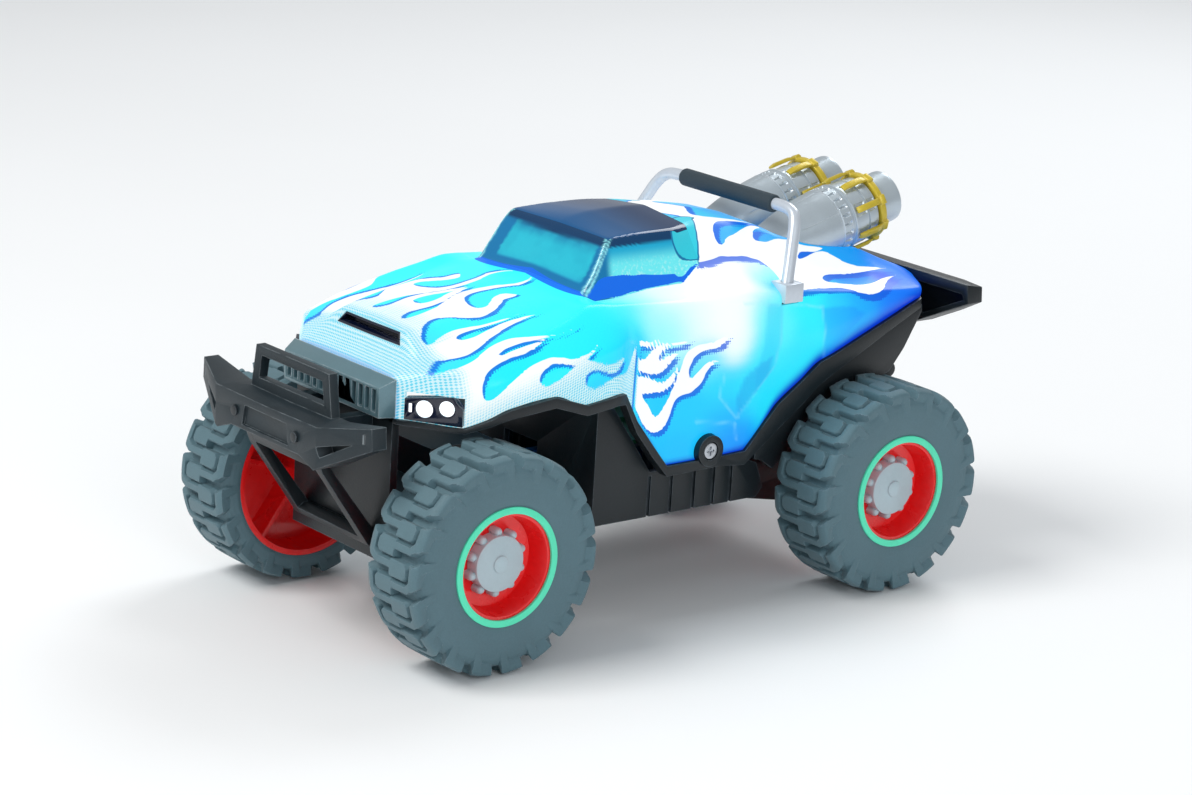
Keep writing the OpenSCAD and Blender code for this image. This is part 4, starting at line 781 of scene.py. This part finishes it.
def quarter_window(tree, colour):
    """The small painted window behind the cab, with its outline."""
    glass = read_attribute(tree, "quarter")
    line = mix(tree, ramp(tree, glass, -0.9, -0.6), colour, srgb(22, 120, 170))
    return mix(tree, ramp(tree, glass, -0.1, 0.12), line, srgb(52, 206, 226))


def shell_material():
    """Lit blue plastic with printed white flames, their dark inner shadows and dotted edges."""
    material, tree, shader, g = lit_material("flame_painted_shell", 0.8, 0.3)
    fine = node(tree, "ShaderNodeGroup", node_tree=DOTS)
    fine.inputs["Pitch"].default_value = 0.00105
    dots = fine.outputs[0]
    colour = read_attribute(tree, "lit", "Color")
    inside = largest(tree, ["flame_front", "flame_door", "flame_rear"])
    shade = largest(tree, ["shade_front", "shade_door", "shade_rear"])
    hatch = read_attribute(tree, "hatch")
    shadow = ramp(tree, maths(tree, "ADD", shade, maths(tree, "MULTIPLY", dots, 0.5)), -0.3, 0.3)
    deep = mix(tree, 0.85, colour, srgb(10, 92, 224))
    painted = mix(tree, shadow, colour, deep)
    dotted = ramp(tree, dots, -0.1, 0.35)
    pale = mix(tree, maths(tree, "MULTIPLY", hatch, dotted), srgb(250, 254, 253), srgb(96, 206, 236))
    grey = mix(tree, maths(tree, "MULTIPLY", hatch, 0.45), pale, srgb(120, 214, 232))
    edge = maths(tree, "ADD", inside, maths(tree, "MULTIPLY", dots, maths(tree, "MULTIPLY", hatch, 0.6)))
    flames = mix(tree, ramp(tree, edge, -0.12, 0.14), painted, grey)
    quarter = quarter_window(tree, painted_band(tree, flames))
    edge_line = maths(tree, "MULTIPLY", read_attribute(tree, "edge_line"), 0.8)
    outlined = mix(tree, edge_line, quarter, srgb(30, 130, 226))
    finish_lit(tree, shader, g, outlined)
    return material


def glazing_material():
    """Tinted teal glazing, frosted on its side windows, with the painted band along its foot."""
    material, tree, shader, g = lit_material("teal_glazing", 0.7, 0.14, coat=0.3)
    where = object_place(tree)
    up = node(tree, "ShaderNodeSeparateXYZ", {0: where}).outputs[2]
    frost, smudge = noise(tree, where, 900.0, 3.0), noise(tree, where, 90.0, 2.0)
    side = read_attribute(tree, "side_window")
    screen = mix(tree, ramp(tree, up, 0.1315, 0.1365), srgb(38, 188, 214), srgb(20, 128, 176))
    screen = mix(tree, ramp(tree, up, 0.1262, 0.1215), screen, srgb(30, 148, 200))
    smudged = maths(tree, "MULTIPLY", ramp(tree, smudge, 0.4, 0.62), 0.35)
    screen = mix(tree, smudged, screen, srgb(48, 210, 230))
    screen = mix(tree, ramp(tree, read_attribute(tree, "inset"), 1.2, 2.2), srgb(18, 122, 178), screen)
    pane = mix(tree, ramp(tree, up, 0.1352, 0.1285), srgb(24, 172, 214), srgb(112, 240, 248))
    speckle = maths(tree, "MULTIPLY", ramp(tree, up, 0.133, 0.126), ramp(tree, frost, 0.5, 0.66))
    pane = mix(tree, maths(tree, "MULTIPLY", speckle, 0.55), pane, srgb(190, 252, 252))
    band = painted_band(tree, mix(tree, side, screen, pane))
    sealed = mix(tree, read_attribute(tree, "gasket"), band, srgb(12, 62, 104))
    # The pale lines along the front pillar are a painted highlight.
    pillar_highlight = mix(tree, read_attribute(tree, "pillar_highlight"), sealed, srgb(150, 238, 246))
    finish_lit(tree, shader, g, quarter_window(tree, pillar_highlight))
    return material


def roof_material():
    """Deep blue gloss roof, lighter towards its front edge, where a reflection is painted in."""
    material, tree, shader, g = lit_material("dark_blue_roof", 0.6, 0.12, coat=0.25)
    along = node(tree, "ShaderNodeSeparateXYZ", {0: object_place(tree)}).outputs[1]
    rear = ramp(tree, along, -0.018, 0.014)
    # The lighter front colour is a painted reflection.
    finish_lit(tree, shader, g, mix(tree, rear, srgb(18, 92, 150), srgb(8, 52, 96)))
    return material


def lamp_material():
    """Glowing lens with faint ribs."""
    material, tree, shader, g = lit_material("glowing_lamp_lens", 1.6, 0.12, coat=1.0)
    ribs = ramp(tree, noise(tree, object_place(tree), 700.0, 2.0), 0.35, 0.65)
    colour = mix(tree, ribs, srgb(226, 244, 255), srgb(255, 255, 255))
    finish_lit(tree, shader, g, colour)
    return material


SHELL, GLAZING, ROOF, LAMP = shell_material(), glazing_material(), roof_material(), lamp_material()


# ---------- the shell and its glazing ----------

def prism(name, ends, outline, corner):
    """A block with this outline between two ends; corner(end, a, b) places one of its points."""
    n = len(outline)
    points = [corner(end, a, b) for end in ends for a, b in outline]
    faces = [list(range(n)), list(range(n, 2 * n))]
    faces += [[i, (i + 1) % n, n + (i + 1) % n, n + i] for i in range(n)]
    obj = mesh_piece(name, points, faces)
    face_outwards(obj)
    return obj


def prism_x(name, x0, x1, outline):
    """A block with this (y, z) outline from x0 to x1."""
    return prism(name, (x0, x1), outline, lambda x, y, z: (x, y, z))


def prism_y(name, y0, y1, outline):
    """A block with this (x, z) outline from y0 to y1."""
    return prism(name, (y0, y1), outline, lambda y, x, z: (x, y, z))


def turned(name, profile, steps=64):
    """A closed solid turned about Z from an (r, z) profile that starts and ends on the axis."""
    angles = np.linspace(0, 2 * math.pi, steps, endpoint=False)
    inner = [p for p in profile if p[0] > 1e-9]
    points = [(r * math.cos(a), r * math.sin(a), z) for r, z in inner for a in angles]
    faces = [list(f) for f in grid_faces(len(inner), steps, wrap_columns=True)]
    for end, row in ((profile[0], 0), (profile[-1], len(inner) - 1)):
        points.append((0, 0, end[1]))
        faces += [[row * steps + k, row * steps + (k + 1) % steps, len(points) - 1] for k in range(steps)]
    obj = mesh_piece(name, points, faces)
    face_outwards(obj)
    return obj


BOOSTER_PLACE = shift(15.5, 128.7, 139) @ Matrix.Rotation(math.radians(14 - 90), 4, "X")
LAMP_PLACE = shift(30.5, NOSE_Y, 89.9) @ Matrix.Rotation(math.radians(36.87), 4, "Z")
WINDOW_SIDE = [(-32.2, 119.9), (-27.4, 117.6), (-18, 118), (-4, 119.7), (14, 120.2), (20.6, 127), (20.6, 150),
               (-32.2, 150)]
ROOF_SIDE = [(-19.2, 137.8), (20.6, 137.8), (20.6, 150), (-19.2, 150)]


def inset_side(outline, by):
    return [(y + (by if y < 0 else -by), z + by) for y, z in outline]


def join(objs, name):
    bpy.ops.object.select_all(action="DESELECT")
    for o in objs:
        o.select_set(True)
    bpy.context.view_layer.objects.active = objs[0]
    if len(objs) > 1:
        bpy.ops.object.join()
    objs[0].name = objs[0].data.name = name
    return objs[0]


def cut(obj, tools, operation="DIFFERENCE"):
    """Cuts the tools from the piece one after another and removes them."""
    for tool in tools:
        apply_modifier(obj, "BOOLEAN", operation=operation, object=tool, solver="EXACT")
        bpy.data.objects.remove(tool)
    return obj


def build_shell():
    shell = body_skin("lit_shell", 1.25, 96, 1.9)
    tools = [prism_x("window_cut", -34, 34, WINDOW_SIDE),
             prism_y("scoop_cut", -104.6, -96, [(-19.6, 106.6), (19.6, 106.6), (16.8, 111), (-16.8, 111)])]
    booster = [(0, -69), (8.1, -69), (12.2, -46), (13.5, -32), (13.6, -25.4), (15.2, -25.4), (15.2, -8),
               (0, -8)]
    for side in (1, -1):
        flip = Matrix.Scale(side, 4, (1, 0, 0))
        pocket = prism_x("lamp_cut", 3.6, 25.2, [(-2, -5.2), (4, -5.2), (4, 4.8), (-2, 4.8)])
        foot = prism_x("foot_cut", 44.1, 52.7, [(46.7, 112), (55.7, 112), (55.7, 126), (46.7, 126)])
        boss = turned("boss_cut", [(0, 44), (6.2, 44), (6.2, 56), (0, 56)], 48)
        move(boss, shift(0, 15.3, 61) @ Z_TO_X)
        for tool, where in ((move(turned("booster_cut", booster), BOOSTER_PLACE), flip),
                            (move(pocket, LAMP_PLACE), flip), (foot, flip), (boss, flip)):
            move(tool, where)
            if side < 0:
                tool.data.flip_normals()
            tools.append(tool)
    cut(shell, [join(tools, "shell_cuts")])
    smooth_by_angle(shell, 40)
    paint_body(shell)
    return place(shell, "chassis", ["body_shell"], SHELL)


def build_glazing():
    glass = body_skin("cab_glazing", 0.75, 150, 1.5, -34, 22)
    cut(glass, [prism_x("glass_zone", -33.9, 33.9, inset_side(WINDOW_SIDE, 0.12))], "INTERSECT")
    cut(glass, [prism_x("roof_cut", -28.2, 28.2, ROOF_SIDE)])
    smooth_by_angle(glass, 40)
    paint_body(glass)
    place(glass, "chassis", ["window_canopy"], GLAZING)
    roof = body_skin("roof_panel_skin", 1.2, 100, 1.7, -22, 22)
    cut(roof, [prism_x("roof_zone", -28, 28, inset_side(ROOF_SIDE, 0.12))], "INTERSECT")
    smooth_by_angle(roof, 40)
    place(roof, "chassis", ["roof_panel"], ROOF)


# ---------- tyres ----------

TREAD_PITCH = 14.0
TYRE_LUGS = 18
TYRE_IN, TYRE_OUT, TYRE_R, TREAD_FLOOR = 46.5, 74.5, 40, 36.6
DEEP, SHALLOW = 3.4, 1.9
LUG_BAND = [(-0.9, 2.0), (9.6, 2.0), (13.2, 5.4), (13.4, 10.6), (17.6, 13.0), (17.6, 15.4), (12.6, 14.6),
            (10.2, 12.4), (10.2, 6.8), (8.4, 5.2), (-0.9, 5.2)]
LUG_PAD = [(-0.9, 6.4), (7.6, 6.4), (9.0, 7.8), (9.0, 11.2), (7.4, 12.9), (-0.9, 12.9)]
LUG_BED = [(-0.9, 2.0), (9.6, 2.0), (13.2, 5.4), (13.4, 10.6), (17.6, 13.0), (17.6, 15.4), (12.6, 14.6),
           (10.2, 12.9), (-0.9, 12.9)]


def tread_height(across, around):
    """Height of the tread above its floor at across (mm from the middle) and around (mm)."""
    height = np.zeros(across.shape)
    for side in (1, -1):
        w = across * side
        for shift in (-TREAD_PITCH, 0, TREAD_PITCH):
            a = (around + (TREAD_PITCH / 2 if side < 0 else 0)) % TREAD_PITCH + shift
            flat = np.stack([w.ravel(), a.ravel()], -1)
            bed = step(-0.35, 0.35, outline_distance(flat, LUG_BED)).reshape(across.shape)
            top = np.maximum(step(-0.3, 0.3, outline_distance(flat, LUG_BAND)),
                             step(-0.3, 0.3, outline_distance(flat, LUG_PAD))).reshape(across.shape)
            height = np.maximum(height, np.where(w > -0.9, bed * (DEEP - SHALLOW) + top * SHALLOW, 0))
    return height


def build_tyre():
    """A front left tyre about X at the origin."""
    inner, outer, top = TYRE_IN, TYRE_OUT, TREAD_FLOOR
    mid = (inner + outer) / 2
    path = [(inner + 0.4, 30.6), (inner, 32), (inner + 0.4, 34.2), (inner + 1.2, 35.8), (inner + 3, top)]
    path += [(x, top + 0.12 * math.cos((x - mid) / 12 * math.pi / 2))
             for x in np.arange(inner + 3.5, outer - 3.2, 0.45)]
    path += [(outer - 3, top), (outer - 1.4, 35.6), (outer - 0.5, 33.6), (outer - 0.1, 31), (outer, 28),
             (outer - 0.15, 25), (outer - 0.35, 22.6), (outer - 0.7, 21.6), (outer - 3, 21.5), (64, 21.8),
             (60.5, 30.3)]
    path = np.array(path)
    run = np.concatenate([[0], np.cumsum(np.hypot(*np.diff(path, axis=0).T))])
    wall = int(np.argmin(np.abs(path[:, 0] - outer) + np.abs(path[:, 1] - 28)))
    dense = np.concatenate([np.arange(0, run[wall], 0.45), run[wall:]])
    xr = np.stack([np.interp(dense, run, path[:, k]) for k in (0, 1)], -1)
    across = dense - np.interp(mid, path[:wall, 0], run[:wall])
    tangent = np.gradient(xr, axis=0)
    normal = np.stack([-tangent[:, 1], tangent[:, 0]], -1)
    normal /= np.linalg.norm(normal, axis=1, keepdims=True)
    count = TYRE_LUGS * 32
    angles = np.arange(count) / count * 2 * math.pi
    around = angles / (2 * math.pi) * TYRE_LUGS * TREAD_PITCH
    height = tread_height(*np.meshgrid(across, around, indexing="ij"))
    fade = 1 - step(15.4, 19.0, np.abs(across))[:, None]
    crown = TYRE_R - (top + 0.12) - DEEP
    rise = height * fade + crown * fade * step(0, DEEP, height)
    x = np.clip(xr[:, 0, None] + normal[:, 0, None] * rise, inner, outer)
    r = np.minimum(xr[:, 1, None] + normal[:, 1, None] * rise, TYRE_R)
    points = np.stack([x, r * np.sin(angles), r * np.cos(angles)], -1).reshape(-1, 3)
    tyre = mesh_piece("tyre", points, grid_faces(len(dense), count, wrap_rows=True, wrap_columns=True))
    face_outwards(tyre)
    smooth_by_angle(tyre, 50)
    return tyre


HUB_LUGS, LUG_CIRCLE = 10, 11


def build_hub():
    """A front left hub cap about X: a flat disc with a raised middle and round lugs along its edge."""
    profile = [(0, 64.6), (10.2, 64.6), (10.2, 69.5), (10.05, 69.95), (9.6, 70.2), (3.5, 70.1), (3.15, 70.3),
               (3.0, 70.9), (2.5, 71.2), (0, 71.2)]
    parts = [turned("hub_disc", profile, 72)]
    lug = [(0, 64.6), (1.6, 64.6), (1.6, 67.6), (1.45, 68.3), (1.05, 68.9), (0.55, 69.15), (0, 69.2)]
    for angle in 2 * math.pi * np.arange(HUB_LUGS) / HUB_LUGS:
        at = shift(LUG_CIRCLE * math.cos(angle), LUG_CIRCLE * math.sin(angle), 0)
        parts.append(move(turned("hub_lug", lug, 20), at))
    hub = join(parts, "hub_cap")
    smooth_by_angle(hub, 40)
    return move(hub, Z_TO_X)


def build_wheels():
    """Four wheels; the rear ones ride on the one rear axle."""
    tyre, hub = build_tyre(), build_hub()
    for end, y in (("front", FRONT_Y), ("rear", REAR_Y)):
        for side, sign in (("left", 1), ("right", -1)):
            body = f"front_wheel_{side}" if end == "front" else "rear_axle"
            copy = copy_of(tyre, f"{end}_{side}_tyre_tread", sign)
            move(copy, shift(0, y, AXLE_Z))
            place(copy, body, [f"{end}_tyre_{side}"], RUBBER)
            for part, material, width in (("rim", RED, 0.4), ("ring", MINT, 0.2)):
                source = f"{end}_{part}_{side}"
                piece = soft_copy(source, f"{end}_{side}_wheel_{part}", width)
                place(piece, body, [source], material)
            cap = copy_of(hub, f"{end}_{side}_wheel_cap", sign)
            move(cap, shift(0, y, AXLE_Z))
            place(cap, body, [f"{end}_cap_{side}"], CAP)
    bpy.data.objects.remove(tyre)
    bpy.data.objects.remove(hub)


# ---------- boosters, roll bar ----------

def build_boosters():
    """Two turned booster tubes with seams, saw-tooth marks, panel grooves and a flared nozzle."""
    profile = [
        (-68, 0.4), (-68, 6.6), (-66.5, 7.6), (-60, 9.0), (-53, 10.6), (-46, 11.8), (-39, 12.7),
        (-33.4, 13.1), (-33.1, 12.8), (-32.7, 12.8), (-32.4, 13.2), (-28.4, 13.25), (-28, 12.5),
        (-26.6, 12.5), (-26.2, 13.2), (-25.7, 13.2), (-25.3, 12.85), (-19.9, 12.6), (-19.6, 12.0),
        (-19.0, 12.0), (-18.7, 12.6), (-14.2, 12.1), (-13.6, 11.4), (-13.4, 10.0), (-12.4, 9.7),
        (-1.2, 10.2), (-0.3, 10.1), (0, 9.7), (0, 8.9), (-0.8, 8.5), (-9, 8.3), (-9, 0.4)]
    zs, rs = [], []
    for (z0, r0), (z1, r1) in zip(profile, profile[1:]):
        n = max(1, int(math.hypot(z1 - z0, r1 - r0) / 0.55))
        zs += [z0 + (z1 - z0) * k / n for k in range(n)]
        rs += [r0 + (r1 - r0) * k / n for k in range(n)]
    zs, rs = np.array(zs + [profile[-1][0]]), np.array(rs + [profile[-1][1]])
    steps = 192
    angles = np.arange(steps) / steps * 2 * math.pi
    z, a = np.meshgrid(zs, angles, indexing="ij")
    r = np.repeat(rs[:, None], steps, 1)
    outside = r > 11
    turn = a / (2 * math.pi)
    notch = np.abs(turn * 24 % 1 - 0.5) < 0.17 * step(-32.4, -28.6, z) + 0.02
    r = r - 0.7 * (notch & (z > -32.2) & (z < -28.5) & outside)
    two_rows = ((z > -24.8) & (z < -20.4)) | ((z > -18.2) & (z < -14.8))
    r = r - 0.45 * ((np.abs(turn * 8 % 1 - 0.5) < 0.24) & two_rows & outside)
    long_seam = (np.abs(turn * 6 % 1 - 0.5) < 0.012) & (z < -33.6) & (z > -64)
    r = r - 0.25 * (long_seam & outside)
    points = np.stack([r * np.cos(a), r * np.sin(a), z], -1).reshape(-1, 3)
    faces = [list(f) for f in grid_faces(len(zs), steps, wrap_columns=True)]
    points = np.concatenate([points, [[0, 0, -68], [0, 0, -9]]])
    for row, tip in ((0, len(points) - 2), (len(zs) - 1, len(points) - 1)):
        faces += [[row * steps + k, row * steps + (k + 1) % steps, tip] for k in range(steps)]
    tube = mesh_piece("booster_left_tube", points, faces)
    face_outwards(tube)
    smooth_by_angle(tube, 38)
    move(tube, BOOSTER_PLACE)
    other = copy_of(tube, "booster_right_tube", -1)
    place(tube, "chassis", ["booster_left"], SILVER)
    place(other, "chassis", ["booster_right"], SILVER)


CLAWS = 8


def claw(turn):
    """One clamp finger of a claw ring, with its raised back and rounded tip."""
    outline = [(10.6, -13.4), (14.1, -13.4), (14.5, -12.2), (14.5, -11.0), (13.6, -10.4), (10.6, -10.4)]
    finger = [(13.2, -12.4), (14.1, -13.6), (14.8, -16.2), (14.8, -22.6), (14.2, -25.2), (13.3, -25.2),
              (13.3, -16)]
    parts = []
    for shape, half in ((outline, 1.9), (finger, 1.25)):
        part = prism_y("claw_part", -half, half, shape)
        round_edges(part, 0.35)
        move(part, Matrix.Rotation(turn, 4, "Z"))
        parts.append(part)
    return parts


def build_claws():
    """The claw ring of each booster: a band with eight clamp fingers."""
    angles = np.linspace(0, 2 * math.pi, 96, endpoint=False)
    profile = [(10.1, -13.3), (12.9, -13.3), (13.3, -12.9), (13.3, -11.0), (12.9, -10.6), (10.1, -10.6)]
    points = [(r * math.cos(a), r * math.sin(a), z) for r, z in profile for a in angles]
    ring = mesh_piece("claw_ring", points, grid_faces(len(profile), 96, wrap_rows=True, wrap_columns=True))
    face_outwards(ring)
    round_edges(ring, 0.2)
    parts = [ring]
    for i in range(CLAWS):
        parts += claw(2 * math.pi * (i + 0.5) / CLAWS)
    left = join(parts, "booster_left_claws")
    smooth_by_angle(left, 35)
    move(left, BOOSTER_PLACE)
    right = copy_of(left, "booster_right_claws", -1)
    place(left, "chassis", ["claws_left"], GOLD)
    place(right, "chassis", ["claws_right"], GOLD)


BAR_MIDDLE = (0, 62.2, 143.9)
BAR_SIDE = [(48.6, 50.6, 117.4), (42.2, 58, 134.6), (40.2, 60, 139.2), (38, 61.4, 142), (35.2, 62, 143.4),
            (31.6, 62.2, 143.9), (20, 62.2, 143.9)]
BAR_R = 2.28


def build_roll_bar():
    """The bent tube, its foam sleeve and its two clamps."""
    whole = BAR_SIDE + [BAR_MIDDLE] + [(-x, y, z) for x, y, z in BAR_SIDE[::-1]]
    curve = bpy.data.curves.new("roll_bar_line", "CURVE")
    curve.dimensions = "3D"
    spline = curve.splines.new("BEZIER")
    spline.bezier_points.add(len(whole) - 1)
    for point, place_at in zip(spline.bezier_points, whole):
        point.co = Vector(place_at) * MM
        point.handle_left_type = point.handle_right_type = "AUTO"
    for k in (0, 1, -1, -2):
        spline.bezier_points[k].handle_left_type = spline.bezier_points[k].handle_right_type = "VECTOR"
    curve.resolution_u = 14
    curve.bevel_depth = BAR_R * MM
    curve.bevel_resolution = 10
    curve.use_fill_caps = True
    bar = bpy.data.objects.new("roll_bar_tube", curve)
    bpy.context.scene.collection.objects.link(bar)
    select_only(bar)
    bpy.ops.object.convert(target="MESH")
    bar = bpy.context.view_layer.objects.active
    face_outwards(bar)
    smooth_by_angle(bar, 50)
    place(bar, "chassis", ["roll_bar"], BAR_PAINT)
    end = [(0, -26.4), (2.6, -26.4), (3.15, -26.1), (3.4, -25.5), (3.4, -12)]
    profile = end + [(3.36, 0)] + [(r, -z) for r, z in end[::-1]]
    pad = turned("roll_bar_foam", profile, 56)
    move(pad, shift(*BAR_MIDDLE) @ Z_TO_X)
    smooth_by_angle(pad, 40)
    place(pad, "chassis", ["roll_bar_pad"], FOAM)
    feet = soft_copy("roll_bar_feet", "roll_bar_clamps", 0.5)
    place(feet, "chassis", ["roll_bar_feet"], BAR_PAINT)


# ---------- everything else keeps its CAD shape, with softened edges where it shows ----------

SOFTENED = [
    ("front_bumper", "bull_bar", 0.5, "black_plastic", CHARCOAL),
    ("skid_guard", "skid_frame", 0.4, "black_plastic", BLACK),
    ("bumper_bolts", "bull_bar_bolts", 0.2, "steel", BLACK),
    ("grille", "front_grille", 0.22, "silver_paint", BRIGHT),
    ("headlight_bezels", "lamp_bezels", 0.2, "bezel", NAVY),
    ("headlight_lenses", "lamp_lenses", 0.25, "lens", LAMP),
    ("scoop_insert", "bonnet_scoop", 0.15, "black_plastic", NAVY),
    ("side_skirts", "sill_skirts", 0.3, "black_plastic", BLACK),
    ("chassis_tub", "tub", 0.4, "black_plastic", BLACK),
    ("rear_frame", "tail_frame", 0.4, "black_plastic", BLACK),
    ("rear_wing", "tail_wing", 0.5, "black_plastic", BLACK),
    ("side_screws", "body_screws", 0.15, "steel", STEEL)]
KEPT = {
    "gearbox_left": BLACK, "gearbox_right": BLACK, "axle_bushes": BRONZE, "gear_shaft": STEEL,
    "drive_motor": ZINC, "steering_cover": BLACK, "steering_unit": BLACK, "battery_pack": WRAP,
    "circuit_board": BOARD,
    "light_board": BOARD, "knuckle_left": BLACK, "knuckle_right": BLACK, "stub_axle_left": STEEL,
    "stub_axle_right": STEEL, "steering_rack": BLACK, "steering_pinion": ACETAL, "rear_axle": STEEL,
    "axle_gear": ACETAL, "compound_gear": ACETAL, "motor_pinion": BRASS, "battery_door": BLACK,
    "power_switch": DARK_GEAR}


def build_rest():
    """Softened copies of the plain visible parts, and finishes for the parts inside."""
    for source, name, width, slot, material in SOFTENED:
        place(soft_copy(source, name, width), "chassis", [source], material)
    for source, material in KEPT.items():
        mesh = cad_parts[source].data
        mesh.materials.clear()
        mesh.materials.append(material)


# ---------- floor, light, camera ----------

def build_studio():
    """A pale floor, an even sky that looks brighter than it lights, and three soft lights."""
    bpy.ops.object.select_all(action="DESELECT")
    bpy.ops.mesh.primitive_plane_add(size=8, location=(0, 0, 0))
    floor = bpy.context.view_layer.objects.active
    floor.name = "studio_floor"
    paper = plain_finish("pale_paper_floor", (0.93, 0.94, 0.95, 1), 0.7, mottle=0.01, patch=3.0, bump=0.02)
    floor.data.materials.append(paper)
    world = bpy.data.worlds.new("studio")
    world.use_nodes = True
    tree = world.node_tree
    background = tree.nodes["Background"]
    seen = node(tree, "ShaderNodeLightPath").outputs["Is Camera Ray"]
    strength = maths(tree, "ADD", maths(tree, "MULTIPLY", seen, 0.62), 0.38)
    background.inputs[0].default_value = (0.97, 0.985, 1.0, 1)
    tree.links.new(strength, background.inputs[1])
    bpy.context.scene.world = world
    for name, at, size, power, tint in (
            ("key", (-0.3, -1.2, 1.5), 0.8, 22, (1, 0.99, 0.97)),
            ("fill", (1.6, -0.5, 0.8), 0.9, 9, (0.93, 0.97, 1)),
            ("back", (-0.6, 1.3, 1.3), 0.9, 12, (0.95, 0.98, 1))):
        light = bpy.data.lights.new(name, "AREA")
        light.size, light.energy, light.color = size, power, tint
        lamp = bpy.data.objects.new(name, light)
        bpy.context.scene.collection.objects.link(lamp)
        lamp.location = at
        lamp.rotation_euler = (Vector((0, 0, 0.07)) - Vector(at)).to_track_quat("-Z", "Y").to_euler()


def build_camera():
    """A long lens at the front left of the car, turned a little about its own axis."""
    azimuth, elevation, roll = (math.radians(a) for a in (50.566, 15.432, 3.3635))
    level = math.cos(elevation)
    back = Vector((math.sin(azimuth) * level, -math.cos(azimuth) * level, math.sin(elevation)))
    across = (-back).cross(Vector((0, 0, 1))).normalized()
    upward = across.cross(-back)
    right = math.cos(roll) * across + math.sin(roll) * upward
    up = -math.sin(roll) * across + math.cos(roll) * upward
    data = bpy.data.cameras.new("camera")
    data.lens, data.sensor_width, data.sensor_fit = 102.46, 36, "HORIZONTAL"
    data.clip_start, data.clip_end = 0.05, 20
    camera = bpy.data.objects.new("camera", data)
    bpy.context.scene.collection.objects.link(camera)
    turn = Matrix((right, up, back)).transposed()
    camera.matrix_world = shift(946.3, -775.4, 407.9) @ turn.to_4x4()
    bpy.context.scene.camera = camera
    bpy.context.scene.view_settings.view_transform = "Standard"


build_shell()
build_glazing()
build_wheels()
build_boosters()
build_claws()
build_roll_bar()
build_rest()
build_studio()
build_camera()
